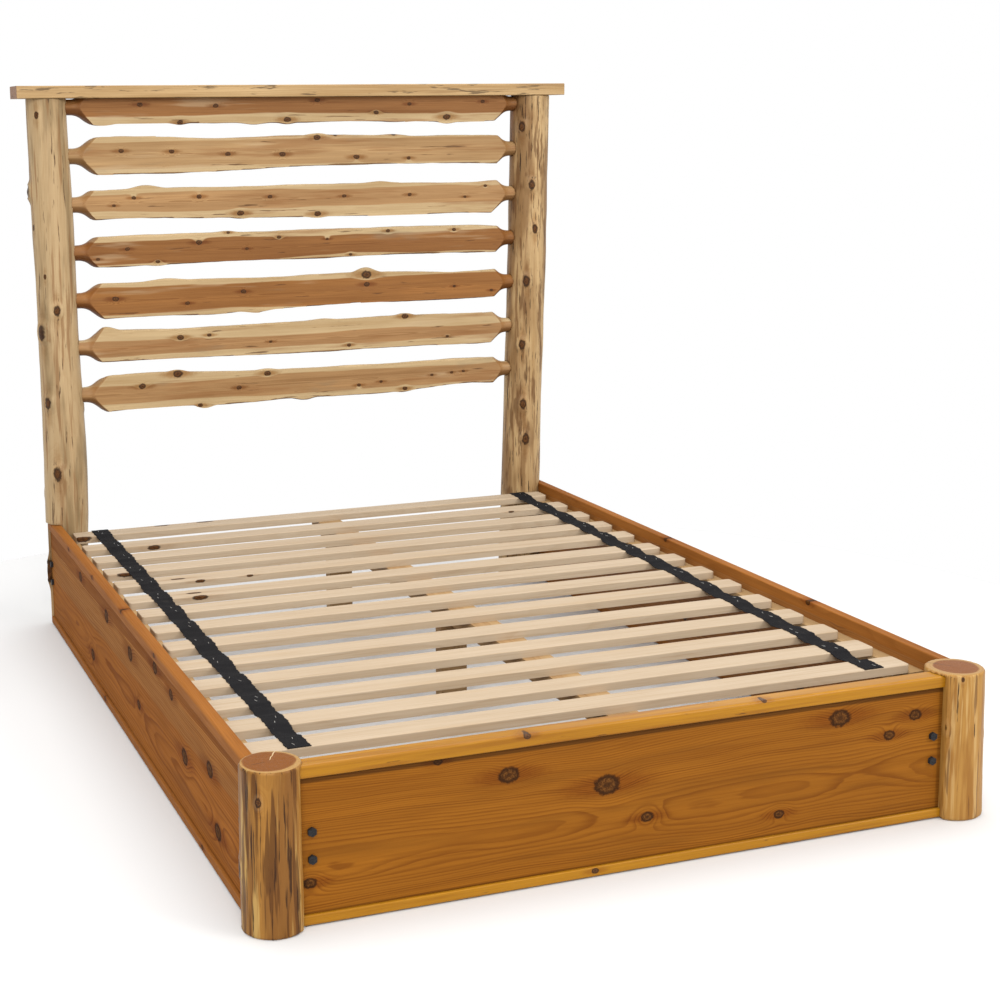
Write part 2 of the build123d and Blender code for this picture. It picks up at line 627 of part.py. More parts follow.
foot_bolts = []
side_bolts = []
nuts = []
washers = []
head_lags = []
for height in BOLT_HEIGHTS:
    foot_bolts.append(hex_bolt((FOOT_BOLT_X, FOOT_BOARD_FRONT, height), (0, 1, 0), FOOT_BOLT_LENGTH))
    side_bolts.append(hex_bolt((SIDE_BOARD_OUTER_X, SIDE_BOLT_Y, height), (-1, 0, 0), SIDE_BOLT_LENGTH))
    head_lags.append(hex_bolt((SIDE_BOARD_OUTER_X, HEAD_LAG_Y, height), (-1, 0, 0), HEAD_LAG_LENGTH))
    seat = (FOOT_BOLT_X, FOOT_BOARD_BACK + BRACKET_THICKNESS, height)
    washers.append(washer(seat, (0, 1, 0)))
    nuts.append(nut((seat[0], seat[1] + WASHER_THICKNESS, height), (0, 1, 0)))
    seat = (INNER_X - BRACKET_THICKNESS, SIDE_BOLT_Y, height)
    washers.append(washer(seat, (-1, 0, 0)))
    nuts.append(nut((seat[0] - WASHER_THICKNESS, seat[1], height), (-1, 0, 0)))
save("foot_rail_bolts", group(both_sides(foot_bolts)))
save("side_rail_bolts", group(both_sides(side_bolts)))
save("head_lag_screws", group(both_sides(head_lags)))
save("bolt_washers", group(both_sides(washers)))
save("bolt_nuts", group(both_sides(nuts)))
save("bracket_screws", group(both_sides(bracket_screws())))
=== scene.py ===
import math
import random

import bpy
import numpy as np
from mathutils import Matrix, Vector


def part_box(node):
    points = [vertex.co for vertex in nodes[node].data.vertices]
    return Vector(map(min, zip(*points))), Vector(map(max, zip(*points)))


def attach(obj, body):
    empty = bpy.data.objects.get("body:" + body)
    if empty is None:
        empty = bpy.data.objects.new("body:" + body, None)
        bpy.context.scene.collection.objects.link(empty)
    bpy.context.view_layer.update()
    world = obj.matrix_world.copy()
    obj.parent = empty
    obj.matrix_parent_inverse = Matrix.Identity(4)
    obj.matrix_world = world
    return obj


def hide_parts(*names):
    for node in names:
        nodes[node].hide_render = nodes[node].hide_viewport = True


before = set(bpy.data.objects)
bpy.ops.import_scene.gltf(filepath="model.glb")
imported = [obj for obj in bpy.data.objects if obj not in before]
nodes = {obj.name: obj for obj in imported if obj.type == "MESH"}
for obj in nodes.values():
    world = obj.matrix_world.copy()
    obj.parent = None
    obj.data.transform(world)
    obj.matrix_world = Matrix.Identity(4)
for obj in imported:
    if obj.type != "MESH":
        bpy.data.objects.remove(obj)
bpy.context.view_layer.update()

# Sizes and places are in millimetres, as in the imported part, and MM turns them to metres.
MM = 0.001
FOOT_Y = -1071.0
HEAD_Y = 1073.0
POST_X = 755.0
SLAT_TOP = 293.0
CAP_UNDERSIDE = 1546.0
FOOT_POST_TOP = 321.0
RAIL_FACE_Y = 1044.0
FOOT_FACE_Y = -1095.0
SIDE_FACE_X = 790.0
LAMP_GAIN = 1.65
SMOOTH_ANGLE = math.radians(38)


# ---- Camera -------------------------------------------------------------------------------

def set_camera():
    """Standing at the foot end, to the left, looking slightly down along the bed."""
    right = Vector((0.939596, -0.342088, -0.011575))
    down = Vector((-0.068722, -0.155409, -0.985457))
    ahead = Vector((0.335315, 0.926727, -0.169531))
    turn = Matrix((right, -down, -ahead)).transposed().to_4x4()
    data = bpy.data.cameras.new("camera")
    data.sensor_width = 36.0
    data.lens = 63.417
    data.shift_x = 0.1216
    data.shift_y = -0.0779
    camera = bpy.data.objects.new("camera", data)
    camera.matrix_world = Matrix.Translation((-1.6076, -4.0307, 1.4781)) @ turn
    bpy.context.scene.collection.objects.link(camera)
    bpy.context.scene.camera = camera


# ---- Colours -----------------------------------------------------------------------------------

def tone(red, green, blue):
    """A finish's own colour, from how it looks under the studio lamps on a 0-255 chart."""
    linear = []
    for part in (red, green, blue):
        part /= 255.0
        part = part / 12.92 if part <= 0.04045 else ((part + 0.055) / 1.055) ** 2.4
        linear.append(part / LAMP_GAIN)
    return tuple(linear)


def shade(finish, red, green, blue):
    """A colour with each of its parts turned up or down."""
    return tuple(min(1.0, part * share) for part, share in zip(finish, (red, green, blue)))


def with_alpha(value):
    """An RGB triple gets its alpha; anything else is passed on."""
    if isinstance(value, tuple) and len(value) == 3:
        return value + (1.0,)
    return value


# ---- Node trees ------------------------------------------------------------------------------

class Tree:
    """A small helper that adds shader nodes and joins them."""

    def __init__(self, name):
        self.material = bpy.data.materials.new(name)
        self.material.use_nodes = True
        self.nodes = self.material.node_tree.nodes
        self.links = self.material.node_tree.links
        self.shader = self.nodes["Principled BSDF"]
        self.place = self.nodes.new("ShaderNodeTexCoord").outputs["Object"]

    def join(self, source, socket):
        """Sets a socket from a number, a colour or another node's output."""
        if isinstance(source, bpy.types.NodeSocket):
            self.links.new(source, socket)
        elif source is not None:
            socket.default_value = source

    def math(self, kind, first, second=None, third=None):
        node = self.nodes.new("ShaderNodeMath")
        node.operation = kind
        for socket, value in zip(node.inputs, (first, second, third)):
            self.join(value, socket)
        return node.outputs[0]

    def sway(self, noise, amount, onto):
        """Adds a noise to a value, centred on nought and made as large as amount."""
        return self.math("MULTIPLY_ADD", self.math("SUBTRACT", noise, 0.5), amount, onto)

    def vector(self, kind, first, second=None):
        node = self.nodes.new("ShaderNodeVectorMath")
        node.operation = kind
        self.join(first, node.inputs[0])
        self.join(second, node.inputs[1])
        return node.outputs["Value" if kind == "LENGTH" else "Vector"]

    def noise(self, place, detail=3.0, rough=0.55, kind="3D"):
        node = self.nodes.new("ShaderNodeTexNoise")
        node.noise_dimensions = kind
        self.join(place, node.inputs["W" if kind == "1D" else "Vector"])
        node.inputs["Scale"].default_value = 1.0
        node.inputs["Detail"].default_value = detail
        node.inputs["Roughness"].default_value = rough
        return node.outputs["Fac"]

    def stretch(self, place, sizes, offset=(0.0, 0.0, 0.0)):
        node = self.nodes.new("ShaderNodeMapping")
        self.join(place, node.inputs["Vector"])
        node.inputs["Location"].default_value = offset
        node.inputs["Scale"].default_value = sizes
        return node.outputs["Vector"]

    def ease(self, value, low, high, out_low=0.0, out_high=1.0):
        node = self.nodes.new("ShaderNodeMapRange")
        node.interpolation_type = "SMOOTHSTEP"
        self.join(value, node.inputs["Value"])
        node.inputs["From Min"].default_value = low
        node.inputs["From Max"].default_value = high
        node.inputs["To Min"].default_value = out_low
        node.inputs["To Max"].default_value = out_high
        return node.outputs["Result"]

    def mix(self, share, first, second, kind="MIX"):
        node = self.nodes.new("ShaderNodeMix")
        node.data_type = "RGBA"
        node.blend_type = kind
        self.join(share, node.inputs[0])
        self.join(with_alpha(first), node.inputs[6])
        self.join(with_alpha(second), node.inputs[7])
        return node.outputs[2]

    def split(self, place):
        node = self.nodes.new("ShaderNodeSeparateXYZ")
        self.join(place, node.inputs[0])
        return node.outputs

    def bump(self, height, strength, distance):
        node = self.nodes.new("ShaderNodeBump")
        node.inputs["Strength"].default_value = strength
        node.inputs["Distance"].default_value = distance
        self.join(height, node.inputs["Height"])
        return node.outputs["Normal"]


# ---- Wood -----------------------------------------------------------------------------------

AXES = {"X": 0, "Y": 1, "Z": 2}
# the dark of knot rims, also the colour of the painted shade lines
KNOT_RIM_AND_SHADE = tone(38, 19, 5)
KNOT_DARK = tone(76, 42, 12)
KNOT_LIGHT = tone(124, 78, 32)
KNOT_PULL = 14.0


def sized(grain, across, along):
    """A scale for patterns: cycles per metre across the grain and along it."""
    scale = [across] * 3
    scale[AXES[grain]] = along
    return tuple(scale)


def knot_field(tree, place, knots, grain, through, drawn):
    """How far each point is from the nearest knot, and from its flame, in knot radii."""
    sizes = list(sized(grain, 1.0, drawn))
    if through:
        sizes[AXES[through]] = 0.2
    field = 9.0
    flame = 9.0
    for x, y, z, radius in knots:
        offset = tree.vector("SUBTRACT", place, (x * MM, y * MM, z * MM))
        scaled = tree.vector("MULTIPLY", offset, tuple(size / (radius * MM) for size in sizes))
        field = tree.math("SMOOTH_MIN", tree.vector("LENGTH", scaled), field, 0.3)
        drawn_out = tree.vector("MULTIPLY", scaled, sized(grain, 1.25, 0.4))
        flame = tree.math("SMOOTH_MIN", tree.vector("LENGTH", drawn_out), flame, 0.3)
    return field, flame


def lay_knots(tree, field, flame, seeded, base, height, halo, collar):
    """Colours the knots: a warm flame, a pale collar, a dark rim and a brown, broken heart."""
    wobble = tree.noise(tree.stretch(seeded, (120.0, 120.0, 120.0)), 3.0, 0.6)
    grit = tree.noise(tree.stretch(seeded, (420.0, 420.0, 420.0)), 2.0, 0.6)
    edge = tree.sway(wobble, 0.8, field)
    lick = tree.sway(wobble, 0.9, flame)
    glow = tree.math("MULTIPLY", tree.ease(lick, 2.3, 0.7), halo)
    base = tree.mix(glow, base, (0.58, 0.40, 0.22), "MULTIPLY")
    ridge = tree.math("MULTIPLY", tree.ease(edge, 1.1, 1.5), tree.ease(edge, 2.6, 1.5))
    base = tree.mix(tree.math("MULTIPLY", ridge, collar), base, (0.40, 0.30, 0.17), "SCREEN")
    height = tree.math("MULTIPLY_ADD", ridge, 6.0 * collar, height)
    core = tree.ease(edge, 1.15, 0.75)
    heart = tree.mix(tree.ease(grit, 0.35, 0.65), KNOT_DARK, KNOT_LIGHT)
    base = tree.mix(core, base, heart)
    rim = tree.math("MULTIPLY", tree.ease(edge, 0.5, 0.95), tree.ease(edge, 1.32, 1.0))
    base = tree.mix(tree.math("MULTIPLY", rim, 0.8), base, KNOT_RIM_AND_SHADE)
    eye = tree.math("MULTIPLY", tree.ease(edge, 0.5, 0.15), tree.ease(grit, 0.4, 0.55))
    base = tree.mix(tree.math("MULTIPLY", eye, 0.8), base, KNOT_RIM_AND_SHADE)
    height = tree.math("MULTIPLY_ADD", rim, -1.4, height)
    height = tree.math("MULTIPLY_ADD", core, 0.5, height)
    return base, height


def lay_band(tree, place, shiver, base, band):
    """A board's lengthwise zone of another colour, between two slanting lines."""
    low, low_slope, high, high_slope, soft, finish, strength = band
    _, along, rise = tree.split(place)
    rise = tree.sway(shiver, 0.012, rise)
    above = tree.math("MULTIPLY_ADD", along, -low_slope, rise)
    below = tree.math("MULTIPLY_ADD", along, -high_slope, rise)
    above = tree.ease(above, low * MM, (low + soft) * MM)
    below = tree.ease(below, high * MM, (high - soft) * MM)
    share = tree.math("MULTIPLY", tree.math("MULTIPLY", above, below), strength)
    return tree.mix(share, base, finish)


def lay_mark(tree, seeded, grain, base, height, mark):
    """Adds one kind of streak, stain or check: its size, how much there is, and its colour."""
    across, along, low, high, strength, finish, depth, shift = mark
    spots = tree.noise(tree.stretch(seeded, sized(grain, across, along), shift), 3.0, 0.6)
    share = tree.math("MULTIPLY", tree.ease(spots, low, high), strength)
    base = tree.mix(share, base, finish)
    if depth:
        height = tree.math("MULTIPLY_ADD", share, -depth, height)
    return base, height


def lay_end_grain(tree, grain, base, inner, late, finishes, checks):
    """Sawn ends: sap and heart with clear rings, saw marks and drying checks."""
    sap, heart = finishes
    normal = tree.nodes.new("ShaderNodeNewGeometry").outputs["Normal"]
    facing = tree.math("ABSOLUTE", tree.split(normal)[AXES[grain]])
    sawn = tree.ease(facing, 0.78, 0.93)
    end = tree.mix(inner, sap, heart)
    end = tree.mix(tree.math("MULTIPLY", late, 0.55), end, shade(heart, 0.62, 0.52, 0.42))
    scrape = tree.noise(tree.stretch(tree.place, (35.0, 380.0, 380.0)), 2.0, 0.5)
    end = tree.mix(tree.ease(scrape, 0.45, 0.75, 0.0, 0.2), end, shade(heart, 0.5, 0.4, 0.3))
    for x, y, angle, reach, finish in checks:
        # each check runs outwards from near its start, along one angle
        offset = tree.vector("SUBTRACT", tree.place, (x * MM, y * MM, 0.0))
        across, ahead, _ = tree.split(offset)
        cosine, sine = math.cos(math.radians(angle)), math.sin(math.radians(angle))
        outward = tree.math("MULTIPLY_ADD", across, cosine, tree.math("MULTIPLY", ahead, sine))
        aside = tree.math("MULTIPLY_ADD", ahead, cosine, tree.math("MULTIPLY", across, -sine))
        wave = tree.noise(tree.stretch(tree.place, (120.0, 120.0, 120.0)), 1.0, 0.5)
        aside = tree.sway(wave, 0.004, aside)
        line = tree.ease(tree.math("ABSOLUTE", aside), 0.0013, 0.0004)
        line = tree.math("MULTIPLY", line, tree.ease(outward, 0.004, 0.012))
        line = tree.math("MULTIPLY", line, tree.ease(outward, reach * MM + 0.004, reach * MM))
        end = tree.mix(line, end, finish)
    return tree.mix(sawn, base, end)


def grow_rings(tree, raw, seeded, grain, pith, ring, wander, slow, field):
    """How far each point is from the pith, bent by slow noise and by every knot, and how
    much late wood it holds: each year ends in a thin dark line, and some are stronger."""
    centred = tree.vector("SUBTRACT", raw, tuple(value * MM for value in pith))
    centred = tree.vector("MULTIPLY", centred, sized(grain, 1.0, 0.0))
    bend = tree.noise(tree.stretch(seeded, sized(grain, *slow)), 2.0, 0.5)
    shiver = tree.noise(tree.stretch(seeded, sized(grain, 22.0, 3.2)), 3.0, 0.6)
    radius = tree.vector("LENGTH", centred)
    radius = tree.sway(bend, wander * MM * 2.4, radius)
    radius = tree.sway(shiver, wander * MM * 0.2, radius)
    if field is not None:
        near = tree.math("MULTIPLY", tree.math("MULTIPLY", field, field), -0.2)
        radius = tree.math("MULTIPLY_ADD", tree.math("EXPONENT", near), KNOT_PULL * MM, radius)
    year = tree.math("DIVIDE", radius, ring * MM)
    part = tree.math("FRACT", year)
    late = tree.math("MULTIPLY", tree.ease(part, 0.3, 0.9), tree.ease(part, 1.0, 0.92))
    uneven = tree.noise(tree.math("MULTIPLY", year, 0.41), 2.0, 0.6, "1D")
    late = tree.math("MULTIPLY", late, tree.ease(uneven, 0.3, 0.7, 0.3, 1.0))
    return radius, late, shiver


def lay_cut_marks_and_under_shade(tree, grain, heart, patch, base, cut, under):
    """Cutter marks across the grain drink more finish, and faces turned downwards get painted shade."""
    facing = tree.split(tree.nodes.new("ShaderNodeNewGeometry").outputs["Normal"])
    across = tree.ease(tree.math("ABSOLUTE", facing[AXES[grain]]), 0.12, 0.6, 0.0, cut)
    base = tree.mix(across, base, shade(heart, 0.72, 0.56, 0.38))
    # painted shade: darker where the surface faces down
    below = tree.ease(tree.sway(patch, 0.6, facing[2]), -0.06, -0.4, 0.0, under)
    return tree.mix(below, base, shade(heart, 0.42, 0.32, 0.22))


def wood(
    name,
    grain,
    sap,
    heart,
    knots=(),
    through="Y",
    drawn=0.72,
    pith=(0, 0, 0),
    heart_radius=60.0,
    heart_edge=5.0,
    ring=3.2,
    ring_depth=0.35,
    wander=14.0,
    slow=(5.0, 1.4),
    streak=0.25,
    halo=0.55,
    collar=0.0,
    cut=0.0,
    under=0.0,
    bands=(),
    marks=(),
    ends=None,
    checks=(),
    painted_shade_lines=(),
    roughness=0.5,
    gloss=0.15,
    coat=0.0,
    seed=0.0,
):
    """Solid wood: growth rings round a wandering pith, heart inside sap, knots and marks.

    Lengths are in millimetres, and strengths run from 0 to 1. The grain runs along one
    axis, and knots go through a board along another; through="" leaves them as spots.
    """
    tree = Tree(name)
    raw = tree.place
    seeded = tree.vector("ADD", raw, (seed * 3.1, seed * 1.7, seed * 2.3))
    field, flame = knot_field(tree, raw, knots, grain, through, drawn) if knots else (None, None)
    radius, late, shiver = grow_rings(tree, raw, seeded, grain, pith, ring, wander, slow, field)
    fibres = tree.noise(tree.stretch(seeded, sized(grain, 300.0, 5.0)), 2.0, 0.65)
    broad = tree.noise(tree.stretch(seeded, sized(grain, 40.0, 1.4)), 3.0, 0.55)
    patch = tree.noise(tree.stretch(seeded, sized(grain, 9.0, 2.6)), 3.0, 0.6)

    # sap and heart, then what lightens or darkens them
    edge = tree.sway(patch, 0.016, radius)
    half = heart_edge / 2
    inner = tree.ease(edge, (heart_radius + half) * MM, (heart_radius - half) * MM)
    dark = tree.mix(inner, shade(sap, 0.62, 0.50, 0.34), shade(heart, 0.52, 0.40, 0.27))
    light = tree.mix(inner, shade(sap, 1.24, 1.24, 1.26), shade(heart, 1.38, 1.38, 1.36))
    base = tree.mix(inner, sap, heart)
    for band in bands:
        base = lay_band(tree, raw, shiver, base, band)
    base = tree.mix(tree.ease(patch, 0.35, 0.7, 0.0, 0.5 * streak), base, dark)
    base = tree.mix(tree.ease(broad, 0.5, 0.72, 0.0, streak), base, light)
    base = tree.mix(tree.ease(broad, 0.5, 0.26, 0.0, streak), base, dark)
    base = tree.mix(tree.math("MULTIPLY", late, ring_depth), base, dark)
    base = tree.mix(tree.ease(fibres, 0.45, 0.8, 0.0, 0.38), base, dark)
    base = tree.mix(tree.ease(fibres, 0.45, 0.15, 0.0, 0.25), base, light)
    height = tree.math("MULTIPLY_ADD", late, -0.35, tree.math("MULTIPLY", fibres, 0.45))

    for mark in marks:
        base, height = lay_mark(tree, seeded, grain, base, height, mark)
    if field is not None:
        base, height = lay_knots(tree, field, flame, seeded, base, height, halo, collar)
    # painted shade: dark lines where a trim's overhang, a trim's ledge or a post would shade the board
    for axis, place, width, strength in painted_shade_lines:
        gap = tree.math("ABSOLUTE", tree.math("SUBTRACT", tree.split(raw)[AXES[axis]], place * MM))
        shade_strip = tree.ease(gap, width * MM, 0.6 * width * MM, 0.0, strength)
        base = tree.mix(shade_strip, base, KNOT_RIM_AND_SHADE)
    if cut or under:
        base = lay_cut_marks_and_under_shade(tree, grain, heart, patch, base, cut, under)
    if ends:
        base = lay_end_grain(tree, grain, base, inner, late, ends, checks)

    tree.join(base, tree.shader.inputs["Base Color"])
    rough = tree.ease(fibres, 0.2, 0.8, roughness - 0.06, roughness + 0.08)
    tree.join(rough, tree.shader.inputs["Roughness"])
    tree.shader.inputs["Coat Weight"].default_value = coat
    tree.shader.inputs["Coat Roughness"].default_value = 0.28
    tree.shader.inputs["Specular IOR Level"].default_value = gloss
    tree.join(tree.bump(height, 0.5, 0.0008), tree.shader.inputs["Normal"])
    return tree.material


def steel(name, dark, light, scale, metallic, roughness, gloss):
    """Plated steel with a fine grain in its colour and gloss."""
    tree = Tree(name)
    grain = tree.noise(tree.stretch(tree.place, (scale, scale, scale)), 3.0)
    tree.join(tree.mix(tree.ease(grain, 0.3, 0.75), dark, light), tree.shader.inputs["Base Color"])
    polish = tree.ease(grain, 0.2, 0.8, roughness - 0.08, roughness + 0.1)
    tree.join(polish, tree.shader.inputs["Roughness"])
    tree.shader.inputs["Metallic"].default_value = metallic
    tree.shader.inputs["Specular IOR Level"].default_value = gloss
    tree.join(tree.bump(grain, 0.2, 0.0004), tree.shader.inputs["Normal"])
    return tree.material


def webbing():
    """Black woven strap: ribs across it, loose fuzz and a little dust."""
    tree = Tree("woven webbing")
    x, y, z = tree.split(tree.place)
    rib = tree.math("SINE", tree.math("MULTIPLY", y, 2100.0))
    warp = tree.math("SINE", tree.math("MULTIPLY", x, 2900.0))
    weave = tree.math("MULTIPLY", rib, warp)
    fuzz = tree.noise(tree.stretch(tree.place, (500.0, 180.0, 500.0)), 4.0, 0.75)
    dust = tree.noise(tree.stretch(tree.place, (45.0, 30.0, 45.0)), 4.0, 0.7)
    lint = tree.noise(tree.stretch(tree.place, (700.0, 350.0, 700.0), (3.0, 1.0, 2.0)), 1.0, 0.5)
    base = tree.mix(tree.ease(weave, -0.6, 0.9), (0.004, 0.004, 0.005), (0.014, 0.013, 0.014))
    base = tree.mix(tree.ease(fuzz, 0.6, 0.8, 0.0, 0.5), base, (0.05, 0.045, 0.04))
    base = tree.mix(tree.ease(dust, 0.55, 0.75, 0.0, 0.3), base, (0.04, 0.035, 0.03))
    base = tree.mix(tree.ease(lint, 0.8, 0.84, 0.0, 0.8), base, (0.3, 0.3, 0.28))
    tree.join(base, tree.shader.inputs["Base Color"])
    tree.shader.inputs["Roughness"].default_value = 0.85
    tree.shader.inputs["Specular IOR Level"].default_value = 0.1
    height = tree.math("MULTIPLY_ADD", fuzz, 0.9, weave)
    tree.join(tree.bump(height, 0.6, 0.0006), tree.shader.inputs["Normal"])
    return tree.material


# ---- Making pieces ----------------------------------------------------------------------------

def pick(piece):
    """Makes a piece the only one selected, and active."""
    bpy.ops.object.select_all(action="DESELECT")
    piece.select_set(True)
    bpy.context.view_layer.objects.active = piece


def modify(piece, kind, **settings):
    """Adds a modifier and applies it at once."""
    pick(piece)
    modifier = piece.modifiers.new(kind.lower(), kind)
    for key, value in settings.items():
        setattr(modifier, key, value)
    bpy.ops.object.modifier_apply(modifier=modifier.name)


def copy_of(node, name):
    """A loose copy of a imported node's mesh, with its triangles joined up."""
    piece = bpy.data.objects.new(name, nodes[node].data.copy())
    piece.data.materials.clear()
    bpy.context.scene.collection.objects.link(piece)
    pick(piece)
    bpy.ops.object.mode_set(mode="EDIT")
    bpy.ops.mesh.select_all(action="SELECT")
    bpy.ops.mesh.remove_doubles(threshold=0.00002)
    bpy.ops.object.mode_set(mode="OBJECT")
    return piece


def finish(piece, material, body, slot, *replaced):
    """Smooths a piece, gives it its material and puts it on its body."""
    pick(piece)
    bpy.ops.object.shade_smooth_by_angle(angle=SMOOTH_ANGLE)
    piece.data.materials.clear()
    piece.data.materials.append(material)
    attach(piece, body)
    if replaced:
        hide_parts(*replaced)


def select_near(piece, point, reach):
    """Selects the vertices within reach of a point, both in millimetres, and counts them."""
    mesh = piece.data
    places = np.empty(len(mesh.vertices) * 3, dtype=np.float32)
    mesh.vertices.foreach_get("co", places)
    offsets = places.reshape(-1, 3) - np.array(point, dtype=np.float32) * MM
    chosen = np.linalg.norm(offsets, axis=1) < reach * MM
    mesh.polygons.foreach_set("select", np.zeros(len(mesh.polygons), dtype=bool))
    mesh.edges.foreach_set("select", np.zeros(len(mesh.edges), dtype=bool))
    mesh.vertices.foreach_set("select", chosen)
    return int(chosen.sum())


def swell(piece, point, direction, height, spread, falloff="SMOOTH"):
    """Raises a soft bump on a piece: what lies within spread of the point follows it."""
    pick(piece)
    bpy.ops.object.mode_set(mode="EDIT")
    bpy.ops.mesh.select_mode(type="VERT")
    bpy.ops.mesh.select_all(action="DESELECT")
    bpy.ops.object.mode_set(mode="OBJECT")
    reach = 3.0
    while not select_near(piece, point, reach):
        reach += 2.0
    bpy.ops.object.mode_set(mode="EDIT")
    bpy.ops.transform.translate(
        value=Vector(direction).normalized() * height * MM,
        use_proportional_edit=True,
        proportional_edit_falloff=falloff,
        proportional_size=spread * MM,
    )
    bpy.ops.object.mode_set(mode="OBJECT")


def clouds(name, size):
    """A cloud pattern for the ripples, its size in metres."""
    texture = bpy.data.textures.new(name, "CLOUDS")
    texture.noise_scale = size
    texture.noise_depth = 2
    return texture


def ripple(piece, texture, stretch, strength, group=""):
    """Pushes the surface in and out by a stretched cloud pattern."""
    guide = bpy.data.objects.new("ripple guide", None)
    guide.scale = stretch
    guide.location = (0.37, 0.21, 0.13)
    bpy.context.scene.collection.objects.link(guide)
    bpy.context.view_layer.update()
    modify(
        piece,
        "DISPLACE",
        texture=texture,
        texture_coords="OBJECT",
        texture_coords_object=guide,
        strength=strength,
        mid_level=0.5,
        vertex_group=group,
    )
    bpy.data.objects.remove(guide)


def weigh(piece, name, weight_of):
    """A vertex group whose weights come from each point, in millimetres, and its normal."""
    group = piece.vertex_groups.new(name=name)
    for vertex in piece.data.vertices:
        weight = weight_of(vertex.co * 1000.0, vertex.normal)
        if weight > 0.0:
            group.add([vertex.index], min(1.0, weight), "REPLACE")
    return group.name


def dress(material, *names):
    """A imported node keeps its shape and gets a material."""
    for name in names:
        mesh = nodes[name].data
        mesh.materials.clear()
        mesh.materials.append(material)


# ---- Peeled log posts ----------------------------------------------------------------------------

# Each log: its side and place along the bed; its sections, as height, how far the middle
# leans inwards, and radius; its knots, as place, radius and how far each stands out; how
# deep its knife flats are, and which pattern they follow.
POSTS = {
    "head_left": {
        "side": -1,
        "y": HEAD_Y,
        "sections": (
            (0, 9, 61), (300, 10, 62), (600, 12, 61.5), (830, 9, 58.5),
            (1120, 7, 59), (1330, 3.5, 58.5), (CAP_UNDERSIDE, 0, 58),
        ),
        "knots": (
            (-791, 1028, 1500, 6, 1.5),
            (-809, 1082, 1284, 12, 14),
            (-758, 1015, 946, 9, 6),
            (-796, 1042, 882, 13, 14),
            (-790, 1034, 677, 10, 8),
            (-774, 1019, 470, 12, 8),
            (-806, 1058, 1183, 5, 3),
            (-786, 1028, 1044, 4, 1),
            (-690, 1095, 1240, 9, 4),
            (-735, 1132, 700, 12, 6),
            (-686, 1075, 660, 9, 5),
            (-800, 1110, 400, 10, 5),
            (-801, 1112, 160, 20, 14),
        ),
        "flats": 0.0018,
        "pattern": 1,
    },
    "head_right": {
        "side": 1,
        "y": HEAD_Y,
        "sections": (
            (0, 38, 62), (330, 30, 61.5), (650, 21, 60), (900, 14, 60),
            (1160, 7, 60), (1350, 3, 60), (CAP_UNDERSIDE, 0, 60),
        ),
        "knots": (
            (710, 1031, 1449, 9, 6),
            (736, 1015, 1270, 9, 6),
            (746, 1013, 1133, 8, 5),
            (720, 1018, 970, 10, 6),
            (707, 1021, 769, 9, 6),
            (709, 1017, 579, 9, 6),
            (716, 1013, 466, 10, 6),
            (790, 1110, 1200, 11, 6),
            (740, 1128, 820, 11, 5),
        ),
        "flats": 0.0024,
        "pattern": 2,
    },
    "foot_left": {
        "side": -1,
        "y": FOOT_Y,
        "sections": ((0, 0, 62), (160, 0, 60.5), (FOOT_POST_TOP, 0, 59)),
        "knots": (
            (-793, -1117, 264, 5, 1),
            (-812, -1060, 120, 11, 5),
        ),
        "flats": 0.0034,
        "pattern": 3,
    },
    "foot_right": {
        "side": 1,
        "y": FOOT_Y,
        "sections": ((0, -5, 64), (160, -3, 63), (FOOT_POST_TOP, 0, 61.5)),
        "knots": (
            (732, -1128, 312, 3, 0.5),
            (819, -1085, 175, 9, 4),
            (700, -1110, 205, 7, 3),
        ),
        "flats": 0.0022,
        "pattern": 4,
    },
}
LOG_VOXEL = 0.0036
SEAT_DEPTH = 5.0


def log_weight(post):
    """Only the log's own round takes the peeling marks; its seats and bores stay true."""
    sections = post["sections"]

    def weight(point, normal):
        for low, high in zip(sections, sections[1:]):
            if point.z <= high[0]:
                break
        share = (point.z - low[0]) / (high[0] - low[0])
        inward = low[1] + share * (high[1] - low[1])
        radius = low[2] + share * (high[2] - low[2])
        middle_x = post["side"] * (POST_X - inward)
        out = Vector((point.x - middle_x, point.y - post["y"], 0.0))
        if abs(normal.z) > 0.6 or out.length < radius - SEAT_DEPTH:
            return 0.0
        return 1.0 if out.normalized().dot(normal) > 0.85 else 0.0

    return weight


def log_post(place, post):
    """Peeled log: slow swells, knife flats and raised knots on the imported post's form."""
    node = place.replace("_", "_post_")
    piece = copy_of(node, place.replace("_", "_log_"))
    modify(piece, "REMESH", mode="VOXEL", voxel_size=LOG_VOXEL)
    group = weigh(piece, "round", log_weight(post))
    pattern = post["pattern"]
    slow, flats = 0.09 + 0.01 * pattern, 0.02 + 0.001 * pattern
    ripple(piece, clouds("slow swell", slow), (1.0, 1.0, 3.2), 0.006, group)
    ripple(piece, clouds("peeling flats", flats), (1.0, 1.0, 6.0), post["flats"], group)
    for x, y, z, radius, height in post["knots"]:
        outward = (x - post["side"] * POST_X, y - post["y"], 0.0)
        swell(piece, (x, y, z), outward, height, radius * 3.4)
        swell(piece, (x, y, z), outward, -0.35 * height - 0.6, radius * 1.3, "SPHERE")
    finish(piece, materials[place], "bed_frame", "log_wood", node)


# ---- Half-log headboard rails --------------------------------------------------------------------

RAIL_TOP_HEIGHT = 1521.0
RAIL_STEP = 138.5
RAIL_HALF_WIDTH = 46.0
RAIL_SHOULDER = 600.0
RAIL_VOXEL = 0.003
RAIL_KNOT_SHARE = 0.85

